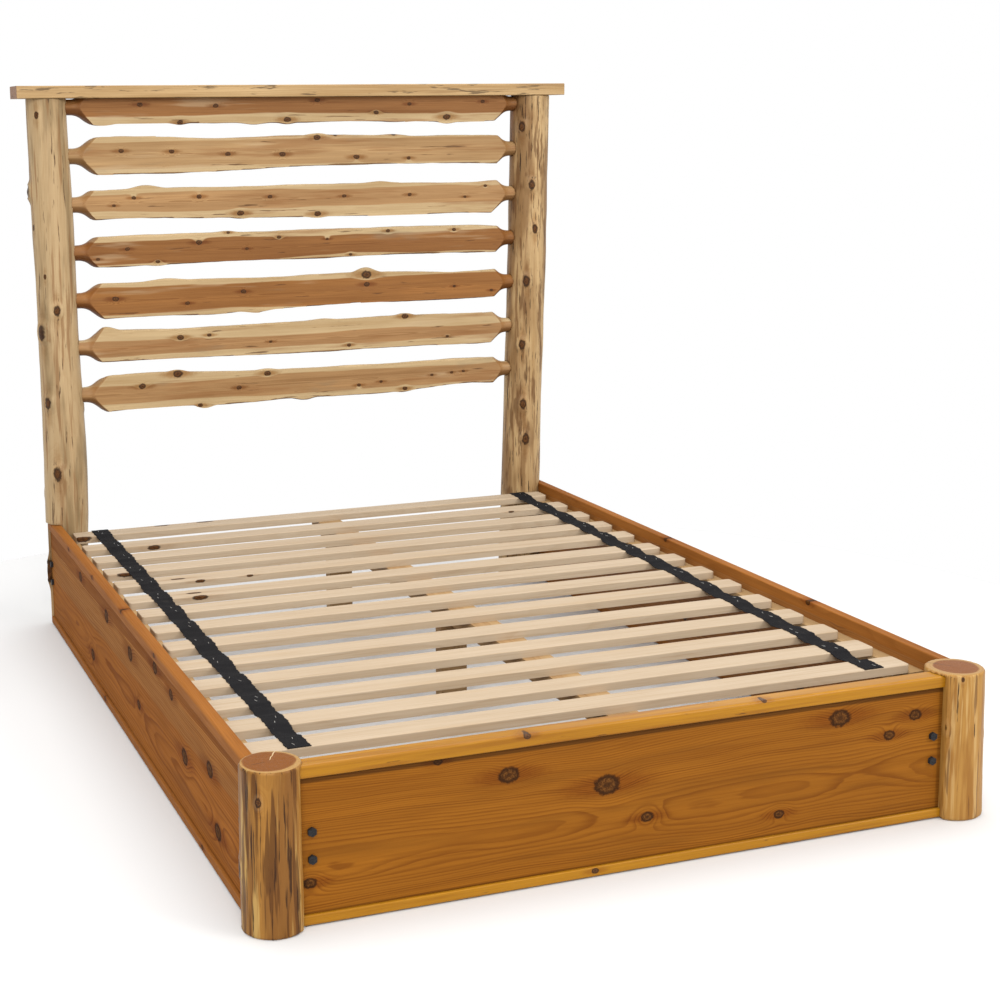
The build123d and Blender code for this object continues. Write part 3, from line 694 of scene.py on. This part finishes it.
# Knots on each rail's flat face, from the top rail down: across, height and radius.
RAIL_KNOTS = (
    (
        (-490, 1527, 6), (-265, 1522, 6), (47, 1536, 6), (341, 1522, 5), (583, 1528, 5),
        (233, 1498, 6), (-47, 1480, 8), (-373, 1475, 7), (463, 1482, 9),
    ),
    (
        (-549, 1396, 6), (-401, 1392, 6), (-232, 1382, 6), (-65, 1378, 7), (44, 1426, 8),
        (101, 1434, 5), (288, 1434, 6), (168, 1366, 7), (337, 1360, 5),
    ),
    (
        (-576, 1240, 4), (-517, 1261, 5), (-323, 1260, 6), (-198, 1208, 8), (-106, 1254, 5),
        (42, 1199, 8), (127, 1250, 5), (339, 1249, 5), (522, 1238, 4), (591, 1270, 4),
    ),
    (
        (-629, 1087, 4), (-541, 1114, 5), (-452, 1074, 5), (-327, 1126, 7), (-237, 1152, 4),
        (-181, 1102, 4), (-81, 1133, 5), (71, 1123, 4), (145, 1073, 4), (267, 1141, 5),
        (485, 1138, 5),
    ),
    (
        (-581, 970, 7), (-367, 948, 5), (-195, 975, 6), (196, 1009, 12), (196, 980, 7),
        (485, 962, 4), (611, 944, 4),
    ),
    (
        (-392, 847, 8), (-304, 850, 5), (-114, 820, 4), (136, 796, 5), (321, 876, 8),
        (461, 806, 4), (-507, 784, 5),
    ),
    (
        (-511, 708, 8), (-402, 739, 11), (-216, 686, 6), (-126, 724, 8), (-337, 640, 6),
        (166, 670, 5), (239, 677, 4), (408, 687, 4), (475, 691, 4), (515, 693, 4), (318, 650, 6),
    ),
)
# Bumps on the live edges where a branch stood: across, above or below, rise and spread.
RAIL_BUMPS = (
    ((-600, -1, 5, 45), (-373, -1, 5, 40), (-150, -1, 6, 55), (-47, -1, 4, 35),
     (300, -1, 3, 60), (463, -1, 5, 40)),
    ((44, 1, 5, 45), (288, 1, 4, 60)),
    ((-480, 1, 9, 60), (-198, -1, 3, 35), (42, -1, 4, 40), (250, 1, 3, 60)),
    ((-237, 1, 4, 45), (-452, -1, 3, 40)),
    ((-430, 1, 6, 80), (196, 1, 14, 50), (-150, -1, 6, 60)),
    ((-610, 1, 10, 45), (50, 1, 4, 60), (321, 1, 6, 40)),
    ((-402, 1, 7, 40), (-600, 1, 3, 30), (-320, -1, 9, 40), (-10, -1, 8, 45), (318, -1, 4, 40),
     (-126, 1, 4, 40)),
)
RAIL_SAP = tone(219, 191, 146)
# Each rail's heart colour, the heart's half width and where the heart lies.
RAIL_HEARTS = (
    (tone(168, 116, 66), 34, 8),
    (tone(196, 158, 110), 38, 3),
    (tone(192, 150, 102), 26, 4),
    (tone(160, 108, 58), 33, -2),
    (tone(170, 116, 62), 39, -4),
    (tone(190, 146, 98), 20, -6),
    (tone(190, 148, 100), 28, -2),
)
RAIL_MARKS = (
    (34.0, 2.6, 0.54, 0.68, 0.50, tone(156, 104, 58), 0.0, (4.0, 1.0, 2.0)),
    (26.0, 2.4, 0.58, 0.72, 0.45, tone(214, 186, 146), 0.0, (2.0, 4.0, 6.0)),
    (100.0, 7.0, 0.66, 0.72, 0.75, tone(92, 56, 30), 0.8, (9.0, 3.0, 5.0)),
    (16.0, 3.0, 0.62, 0.74, 0.35, tone(142, 128, 104), 0.0, (1.0, 7.0, 3.0)),
)


def headboard_rail(index):
    """Half-log with a flat front, live edges and cut tenons."""
    node = f"headboard_rail_{index + 1}"
    height = RAIL_TOP_HEIGHT - RAIL_STEP * index
    piece = copy_of(node, f"half_log_{index + 1}")
    modify(piece, "REMESH", mode="VOXEL", voxel_size=RAIL_VOXEL)

    def weight(point, normal):
        if index == 0 and point.z >= CAP_UNDERSIDE - 8.0:
            return 0.0
        body = 1.0 - min(1.0, max(0.0, (abs(point.x) - RAIL_SHOULDER) / 40.0))
        return body * min(1.0, max(0.0, (normal.y + 0.75) * 2.5))

    group = weigh(piece, "bark side", weight)
    ripple(piece, clouds("live edge", 0.07 + 0.005 * index), (2.6, 1.0, 1.0), 0.008, group)
    ripple(piece, clouds("peeling marks", 0.014), (3.0, 1.0, 1.0), 0.0018, group)
    for x, side, rise, spread in RAIL_BUMPS[index]:
        edge = (x, RAIL_FACE_Y + 4.0, height + side * RAIL_HALF_WIDTH)
        swell(piece, edge, (0, 0.25, side), rise, spread)
    heart, heart_radius, offset = RAIL_HEARTS[index]
    material = wood(
        f"half-log cedar {index + 1}",
        "X",
        RAIL_SAP,
        heart,
        knots=[(x, RAIL_FACE_Y, z, RAIL_KNOT_SHARE * radius) for x, z, radius in RAIL_KNOTS[index]],
        pith=(0, RAIL_FACE_Y + 6.0, height + offset),
        heart_radius=heart_radius,
        heart_edge=4.0,
        ring=2.7,
        ring_depth=0.5,
        wander=10.0,
        slow=(4.0, 2.0),
        streak=0.5,
        halo=0.85,
        cut=0.6,
        # painted shade on the faces that turn downwards
        under=0.8,
        marks=RAIL_MARKS,
        roughness=0.45,
        coat=0.04,
        seed=1.3 + index,
    )
    finish(piece, material, "bed_frame", "half_log_wood", node)


# ---- Webbing straps ---------------------------------------------------------------------------------

SLAT_COUNT = 14
STRAP_WIDTH = 48.0
STRAP_FOOT_Y = -949.0
STRAP_HEAD_Y = 1009.0
# Each strap's middle at its foot end and at its head end.
STRAP_LINES = {"left": (-661.5, -661.5), "right": (642.0, 683.0)}
STRAP_THICKNESS = 1.7
STRAP_LIFT = 0.3
# How far inside a slat's edges the strap is held, and what it may do between two slats.
STAPLE_INSET = 3.0
SAG = (3.5, 7.0)
TILT = (-2.0, 2.0)
PINCH = (0.02, 0.08)
SLIP = (-1.5, 1.5)
# A staple's crown, its height over the slats, and where the two stand across a slat.
STAPLE_CROWN = (0.0011, 0.0095, 0.0007)
STAPLE_HEIGHT = 2.35
STAPLE_SHARES = (0.3, 0.72)
SLAT_EDGES = sorted(
    (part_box(f"slat_{number:02d}")[0].y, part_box(f"slat_{number:02d}")[1].y)
    for number in range(1, SLAT_COUNT + 1)
)


def strap_middle(name, y):
    """Where a strap's middle lies at a place along the bed, in metres."""
    foot_x, head_x = STRAP_LINES[name]
    share = (y - STRAP_FOOT_Y * MM) / ((STRAP_HEAD_Y - STRAP_FOOT_Y) * MM)
    return (foot_x + share * (head_x - foot_x)) * MM


def strap(name, seed):
    """Webbing that is stapled flat on each slat and sags, puckered, between them."""
    random.seed(seed)
    length = (STRAP_HEAD_Y - STRAP_FOOT_Y) * MM
    middle = (STRAP_HEAD_Y + STRAP_FOOT_Y) / 2 * MM
    bpy.ops.object.select_all(action="DESELECT")
    bpy.ops.mesh.primitive_grid_add(x_subdivisions=8, y_subdivisions=420, size=1.0)
    piece = bpy.context.active_object
    piece.name = f"webbing_{name}"
    bpy.ops.object.mode_set(mode="EDIT")
    bpy.ops.transform.resize(value=(STRAP_WIDTH * MM, length, 1.0))
    bpy.ops.transform.translate(value=(0.0, middle, (SLAT_TOP + STRAP_LIFT) * MM))
    bpy.ops.object.mode_set(mode="OBJECT")
    gaps = []
    for (_, start), (end, _) in zip(SLAT_EDGES, SLAT_EDGES[1:]):
        sag, tilt, pinch, slip = [random.uniform(*limits) for limits in (SAG, TILT, PINCH, SLIP)]
        fold = random.uniform(0.0, 6.28)
        start, end = start - STAPLE_INSET * MM, end + STAPLE_INSET * MM
        gaps.append((start, end, sag, tilt, pinch, slip, fold))
    for vertex in piece.data.vertices:
        x, y = vertex.co.x, vertex.co.y
        across = x / (STRAP_WIDTH * MM) * 2.0
        for start, end, sag, tilt, pinch, slip, fold in gaps:
            if start < y < end:
                share = (y - start) / (end - start)
                hollow = math.sin(math.pi * share)
                drop = sag * hollow ** 0.6 + tilt * across * hollow
                drop += 0.9 * hollow * math.sin(3.0 * math.pi * share + fold + across)
                vertex.co.z -= max(0.0, drop) * MM
                vertex.co.x = x * (1.0 - pinch * hollow) + slip * hollow * MM
                break
        ragged = 1.0 * math.sin(y * 210.0 + seed) + 0.8 * math.sin(y * 530.0 + 2.0 * across)
        vertex.co.x += ragged * abs(across) ** 3 * MM + strap_middle(name, y)
    modify(piece, "SOLIDIFY", thickness=STRAP_THICKNESS * MM, offset=1.0)
    modify(piece, "BEVEL", width=0.0004, segments=1, limit_method="ANGLE")
    ripple(piece, clouds("puckers", 0.012), (1.0, 1.0, 1.0), 0.0009)
    finish(piece, materials["webbing"], "slat_mat", "webbing", f"slat_strap_{name}")


def staples():
    """Wire staples that pin the straps down, two where a strap crosses a slat."""
    random.seed(41)
    bpy.ops.object.select_all(action="DESELECT")
    crowns = []
    for name in STRAP_LINES:
        for low, high in SLAT_EDGES:
            for share in STAPLE_SHARES:
                y = low + share * (high - low) + random.uniform(-0.004, 0.004)
                x = strap_middle(name, y) + random.uniform(-0.013, 0.013)
                bpy.ops.mesh.primitive_cube_add(size=1.0, location=(0, 0, 0))
                crown = bpy.context.active_object
                bpy.ops.object.mode_set(mode="EDIT")
                bpy.ops.transform.resize(value=STAPLE_CROWN)
                bpy.ops.mesh.bevel(offset=0.0002, segments=1)
                bpy.ops.transform.rotate(
                    value=random.uniform(-0.5, 0.5), orient_axis="Z", center_override=(0, 0, 0)
                )
                bpy.ops.transform.translate(value=(x, y, (SLAT_TOP + STAPLE_HEIGHT) * MM))
                bpy.ops.object.mode_set(mode="OBJECT")
                crowns.append(crown)
    bpy.ops.object.select_all(action="DESELECT")
    for crown in crowns:
        crown.select_set(True)
    bpy.context.view_layer.objects.active = crowns[0]
    bpy.ops.object.join()
    piece = bpy.context.active_object
    piece.name = "strap_staples"
    finish(piece, materials["zinc"], "slat_mat", "zinc_steel")


# ---- Finishes ------------------------------------------------------------------------------------

# Knots on a board's face: along the board, height and radius.
FOOT_BOARD_KNOTS = (
    (-288, 237, 14), (-78, 187, 18), (456, 254, 16), (641, 237, 10), (578, 201, 9),
    (12, 107, 9), (316, 67, 8), (-434, 284, 6), (-691, 84, 9),
)
SIDE_BOARD_KNOTS = (
    (277, 241, 15), (486, 80, 14), (-4, 223, 16), (-275, 268, 13), (-428, 253, 11),
    (-540, 150, 16), (-754, 198, 15), (-808, 87, 15), (627, 259, 12), (-86, 122, 10),
)
# Knots on the slats: place and radius.
SLAT_KNOTS = (
    (-476, 1003, 293, 7), (-344, 1003, 293, 8), (-551, 776, 284, 6), (-695, 485, 291, 7),
    (-578, 376, 293, 6), (-525, 347, 289, 4), (-574, 224, 293, 6), (-566, 191, 289, 6),
    (-725, 942, 288, 8), (-390, 347, 290, 3), (560, 776, 291, 3), (-610, 45, 293, 4),
)


# Streaks and stains: how often they come across the grain and along it, from and to which
# noise they grow, their strength and colour, how deep they are, and where they start.
HEAD_LEFT_MARKS = (
    (18.0, 2.4, 0.50, 0.64, 0.65, tone(142, 118, 82), 0.0, (1.0, 2.0, 3.0)),
    (60.0, 3.0, 0.54, 0.64, 0.60, tone(150, 104, 60), 0.0, (5.0, 1.0, 4.0)),
    (140.0, 9.0, 0.63, 0.69, 0.85, tone(84, 54, 30), 1.0, (8.0, 6.0, 2.0)),
)
HEAD_RIGHT_MARKS = (
    (14.0, 2.0, 0.46, 0.60, 0.75, tone(138, 98, 56), 0.0, (1.0, 2.0, 3.0)),
    (40.0, 7.0, 0.55, 0.63, 0.70, tone(112, 74, 40), 0.5, (6.0, 1.0, 4.0)),
    (100.0, 6.0, 0.58, 0.66, 0.65, tone(126, 84, 46), 0.4, (3.0, 5.0, 7.0)),
    (220.0, 12.0, 0.60, 0.65, 0.90, tone(56, 36, 20), 1.2, (8.0, 6.0, 2.0)),
)
FOOT_LEFT_MARKS = (
    (22.0, 2.2, 0.38, 0.58, 0.85, tone(138, 90, 38), 0.0, (2.0, 2.0, 3.0)),
    (46.0, 2.6, 0.53, 0.64, 0.75, tone(218, 178, 104), -0.4, (4.0, 9.0, 1.0)),
    (70.0, 3.4, 0.54, 0.61, 0.80, tone(98, 58, 20), 0.8, (6.0, 1.0, 4.0)),
    (150.0, 6.0, 0.60, 0.65, 0.90, tone(58, 32, 12), 1.4, (8.0, 6.0, 2.0)),
)
FOOT_RIGHT_MARKS = (
    (40.0, 4.0, 0.46, 0.62, 0.70, tone(160, 106, 42), 0.0, (2.0, 2.0, 3.0)),
    (60.0, 4.0, 0.54, 0.66, 0.60, tone(224, 184, 120), 0.0, (4.0, 9.0, 1.0)),
    (90.0, 5.0, 0.60, 0.67, 0.70, tone(116, 74, 34), 0.8, (6.0, 1.0, 4.0)),
    (150.0, 10.0, 0.65, 0.70, 0.85, tone(66, 40, 20), 1.4, (8.0, 6.0, 2.0)),
)
CAP_MARKS = (
    (60.0, 2.4, 0.54, 0.68, 0.60, tone(160, 122, 78), 0.0, (1.0, 2.0, 5.0)),
    (110.0, 12.0, 0.59, 0.66, 0.80, tone(108, 86, 60), 0.6, (4.0, 1.0, 7.0)),
)
TRIM_MARKS = (
    (60.0, 2.4, 0.50, 0.70, 0.60, tone(156, 96, 14), 0.0, (1.0, 2.0, 5.0)),
    (160.0, 16.0, 0.68, 0.74, 0.75, tone(92, 52, 16), 0.6, (4.0, 1.0, 7.0)),
)
SLAT_MARKS = (
    (24.0, 1.2, 0.54, 0.72, 0.40, tone(206, 176, 138), 0.0, (1.0, 2.0, 5.0)),
    (120.0, 4.0, 0.68, 0.76, 0.35, tone(176, 140, 104), 0.0, (4.0, 1.0, 7.0)),
)
LOG_SAP = tone(208, 178, 134)
LOG_HEART = tone(160, 112, 72)
FOOT_SAP = tone(180, 128, 58)
END_SAP = tone(200, 156, 92)
END_HEART = tone(144, 82, 14)
# How often a board's broad streaks come across the grain and along it.
BOARD_STREAKS = (26.0, 1.6)

# What the logs, the head logs, the foot logs and the side boards each have in common.
LOG = {
    "grain": "Z",
    "through": "",
    "drawn": 0.62,
    "collar": 0.10,
    "ends": (END_SAP, END_HEART),
}
HEAD_LOG = {
    **LOG,
    "heart": LOG_HEART,
    "heart_radius": 42.0,
    "ring": 2.4,
    "wander": 10.0,
    "slow": (6.0, 1.6),
    "roughness": 0.46,
    "coat": 0.03,
}
FOOT_LOG = {
    **LOG,
    "wander": 6.0,
    "slow": (8.0, 2.0),
    "roughness": 0.42,
    "coat": 0.04,
}
SIDE_BOARD = {
    "grain": "Y",
    "through": "X",
    "heart_radius": 400.0,
    "ring": 5.0,
    "ring_depth": 0.8,
    "wander": 30.0,
    "slow": (3.2, 1.0),
    "streak": 0.3,
    "halo": 0.7,
}


def log_knots(place):
    """A log's knots without how far they stand out."""
    return [knot[:4] for knot in POSTS[place]["knots"]]


materials = {
    "webbing": webbing(),
    "black": steel("black screws", (0.010, 0.010, 0.011), (0.026, 0.026, 0.028), 380.0, 0.0, 0.4, 0.12),
    "zinc": steel("zinc plate", (0.42, 0.42, 0.40), (0.66, 0.66, 0.63), 160.0, 1.0, 0.38, 0.5),
    "head_left": wood(
        "peeled log, head left",
        sap=LOG_SAP,
        knots=log_knots("head_left"),
        pith=(-746, HEAD_Y, 0),
        ring_depth=0.14,
        streak=0.35,
        halo=0.5,
        marks=HEAD_LEFT_MARKS,
        seed=0.4,
        **HEAD_LOG,
    ),
    "head_right": wood(
        "peeled log, head right",
        sap=tone(216, 182, 132),
        knots=log_knots("head_right"),
        pith=(735, HEAD_Y, 0),
        ring_depth=0.18,
        streak=0.4,
        halo=0.6,
        marks=HEAD_RIGHT_MARKS,
        seed=5.2,
        **HEAD_LOG,
    ),
    "foot_left": wood(
        "peeled log, foot left",
        sap=FOOT_SAP,
        heart=tone(164, 108, 54),
        knots=log_knots("foot_left"),
        pith=(-757, -1068, 0),
        heart_radius=50.0,
        ring=2.6,
        ring_depth=0.3,
        streak=0.5,
        marks=FOOT_LEFT_MARKS,
        checks=((-757, -1068, 62, 60, tone(232, 204, 158)), (-757, -1068, 190, 34, KNOT_DARK)),
        seed=2.6,
        **FOOT_LOG,
    ),
    "foot_right": wood(
        "peeled log, foot right",
        sap=tone(196, 146, 74),
        heart=tone(168, 112, 52),
        knots=log_knots("foot_right"),
        pith=(757, FOOT_Y, 0),
        heart_radius=46.0,
        ring=2.8,
        ring_depth=0.24,
        streak=0.35,
        marks=FOOT_RIGHT_MARKS,
        checks=((757, FOOT_Y, 128, 58, KNOT_DARK),),
        seed=8.4,
        **FOOT_LOG,
    ),
    "cap": wood(
        "plank, cap",
        "X",
        tone(211, 177, 128),
        tone(192, 154, 106),
        pith=(0, 1090, 1500),
        ring=3.4,
        ring_depth=0.45,
        streak=0.65,
        marks=CAP_MARKS,
        ends=(tone(158, 108, 66), tone(142, 94, 56)),
        roughness=0.45,
        coat=0.03,
        seed=3.3,
    ),
    "foot_board": wood(
        "plank, foot rail",
        "X",
        tone(172, 110, 30),
        tone(164, 102, 26),
        knots=[(x, FOOT_FACE_Y, z, radius) for x, z, radius in FOOT_BOARD_KNOTS],
        pith=(0, -1000, 120),
        heart_radius=400.0,
        ring=3.6,
        ring_depth=0.85,
        wander=26.0,
        slow=(4.6, 1.3),
        streak=0.3,
        halo=0.65,
        marks=((*BOARD_STREAKS, 0.50, 0.72, 0.45, tone(124, 74, 18), 0.0, (1.0, 2.0, 5.0)),),
        # painted shade: under the top trim, over the bottom trim and where the post shades the board's
        # end
        painted_shade_lines=(("Z", 288, 11, 0.62), ("Z", 24, 4, 0.4), ("X", 712, 14, 0.35)),
        gloss=0.08,
        roughness=0.55,
        seed=6.1,
    ),
    "side_board_left": wood(
        "plank, left rail",
        sap=tone(188, 121, 48),
        heart=tone(176, 108, 40),
        knots=[(-SIDE_FACE_X, y, z, radius) for y, z, radius in SIDE_BOARD_KNOTS],
        pith=(-700, 0, 110),
        bands=(
            (172.7, -0.0278, 250.0, -0.0153, 4.0, tone(176, 122, 66), 0.8),
            (249.0, -0.0153, 252.5, -0.0153, 1.5, tone(204, 150, 92), 0.8),
            # painted shade: this dark band along the board's top stands in for the shade below the top
            # trim
            (251.0, -0.0153, 300.0, 0.0, 3.0, tone(130, 80, 38), 0.6),
        ),
        marks=((*BOARD_STREAKS, 0.54, 0.74, 0.4, tone(138, 84, 38), 0.0, (1.0, 2.0, 5.0)),),
        # painted shade: under the top trim and over the bottom trim
        painted_shade_lines=(("Z", 288, 6, 0.45), ("Z", 24, 4, 0.3)),
        gloss=0.04,
        roughness=0.7,
        seed=1.9,
        **SIDE_BOARD,
    ),
    "side_board_right": wood(
        "plank, right rail",
        sap=tone(192, 134, 74),
        heart=tone(180, 120, 60),
        knots=[(SIDE_FACE_X, -y, z, radius) for y, z, radius in SIDE_BOARD_KNOTS],
        pith=(700, 0, 120),
        coat=0.02,
        seed=7.7,
        **SIDE_BOARD,
    ),
    "foot_trim": wood(
        "trim, foot rail",
        "X",
        tone(194, 134, 22),
        tone(178, 116, 18),
        knots=[(-252, -1100, 312, 5), (272, -1098, 316, 4), (-105, -1101, 15, 5)],
        pith=(0, -1040, 200),
        heart_radius=112.0,
        ring=4.0,
        ring_depth=0.25,
        wander=16.0,
        streak=0.45,
        marks=TRIM_MARKS,
        ends=(tone(190, 130, 60), tone(180, 120, 54)),
        gloss=0.2,
        roughness=0.36,
        coat=0.06,
        seed=4.8,
    ),
    "side_trim": wood(
        "trim, side rails",
        "Y",
        tone(176, 112, 50),
        tone(158, 94, 38),
        knots=[
            (-797, 420, 308, 5), (-797, -300, 305, 5), (-795, 60, 312, 5), (-797, 760, 306, 5),
            (-797, -700, 13, 5), (-797, 300, 16, 6), (775, 200, 312, 5), (780, -500, 312, 6),
        ],
        through="X",
        pith=(0, 0, 260),
        ring=4.0,
        ring_depth=0.3,
        wander=18.0,
        streak=0.45,
        halo=0.7,
        marks=((60.0, 2.4, 0.54, 0.72, 0.5, tone(134, 80, 36), 0.0, (1.0, 2.0, 5.0)),),
        ends=(tone(190, 130, 70), tone(180, 120, 62)),
        gloss=0.05,
        roughness=0.6,
        seed=9.3,
    ),
    "slat": wood(
        "planed slats",
        "X",
        tone(214, 192, 164),
        tone(204, 180, 148),
        knots=SLAT_KNOTS,
        through="",
        drawn=0.35,
        pith=(0, 0, 120),
        heart_radius=120.0,
        ring=7.0,
        ring_depth=0.16,
        wander=50.0,
        streak=0.22,
        halo=0.3,
        marks=SLAT_MARKS,
        ends=(tone(206, 176, 140), tone(198, 166, 128)),
        roughness=0.6,
        seed=2.2,
    ),
    "ledger": wood(
        "planed ledgers and beam",
        "Y",
        tone(200, 164, 116),
        tone(188, 150, 104),
        pith=(0, 0, 180),
        heart_radius=100.0,
        ring=8.0,
        ring_depth=0.2,
        wander=40.0,
        ends=(tone(190, 156, 112), tone(182, 146, 102)),
        roughness=0.6,
        seed=3.9,
    ),
}


# ---- The bed ----------------------------------------------------------------------------------------

set_camera()
for place, post in POSTS.items():
    log_post(place, post)
for index in range(len(RAIL_HEARTS)):
    headboard_rail(index)
strap("left", 11)
strap("right", 23)
staples()

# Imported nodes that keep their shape, by their material.
DRESSED = {
    "cap": ("headboard_cap",),
    "foot_board": ("foot_rail_board",),
    "side_board_left": ("side_rail_board_left",),
    "side_board_right": ("side_rail_board_right",),
    "foot_trim": ("foot_rail_top_trim", "foot_rail_bottom_trim"),
    "side_trim": (
        "side_rail_top_trim_left", "side_rail_top_trim_right",
        "side_rail_bottom_trim_left", "side_rail_bottom_trim_right",
    ),
    "slat": tuple(f"slat_{number:02d}" for number in range(1, SLAT_COUNT + 1)),
    "ledger": (
        "slat_ledger_left", "slat_ledger_right", "centre_beam",
        "centre_leg_head", "centre_leg_middle", "centre_leg_foot",
    ),
    "black": (
        "foot_rail_bolts", "side_rail_bolts", "head_lag_screws", "bolt_washers", "bolt_nuts",
    ),
    "zinc": ("corner_brackets", "bracket_screws", "cap_screws", "ledger_screws", "leg_screws"),
}
for finish_name, names in DRESSED.items():
    dress(materials[finish_name], *names)


# ---- Floor and light -------------------------------------------------------------------------------

def area_light(name, place, aim, size, power, tint=(1.0, 1.0, 1.0)):
    """A soft lamp that points at a spot on the bed."""
    data = bpy.data.lights.new(name, "AREA")
    data.shape = "RECTANGLE"
    data.size, data.size_y = size
    data.energy = power
    data.color = tint
    light = bpy.data.objects.new(name, data)
    light.location = place
    light.rotation_euler = (Vector(aim) - Vector(place)).to_track_quat("-Z", "Y").to_euler()
    bpy.context.scene.collection.objects.link(light)


FLOOR_RADIUS = 2.1


def studio():
    """Pale floor, pale surroundings and soft lamps."""
    bpy.ops.object.select_all(action="DESELECT")
    bpy.ops.mesh.primitive_circle_add(vertices=128, radius=FLOOR_RADIUS, fill_type="NGON")
    floor = bpy.context.active_object
    floor.name = "studio_floor"
    tree = Tree("studio floor")
    patches = tree.noise(tree.stretch(tree.place, (0.3, 0.3, 0.3)), 2.0)
    pale = tree.mix(patches, (0.61, 0.61, 0.61), (0.63, 0.63, 0.63))
    tree.join(pale, tree.shader.inputs["Base Color"])
    tree.shader.inputs["Roughness"].default_value = 0.9
    floor.data.materials.append(tree.material)
    world = bpy.data.worlds.new("studio")
    world.use_nodes = True
    background = world.node_tree.nodes["Background"]
    background.inputs["Color"].default_value = (1.0, 1.0, 1.0, 1.0)
    background.inputs["Strength"].default_value = 1.0
    bpy.context.scene.world = world
    area_light("key", (-2.4, -5.2, 3.6), (0.0, 0.0, 0.6), (3.0, 2.4), 230.0, (1.0, 0.98, 0.95))
    area_light("fill", (3.4, -4.4, 3.6), (0.0, 0.0, 0.6), (2.4, 2.4), 150.0, (1.0, 0.98, 0.95))
    area_light("top", (0.0, 0.5, 5.2), (0.0, 0.5, 0.3), (4.0, 4.0), 170.0)


studio()
bpy.context.scene.view_settings.view_transform = "Standard"
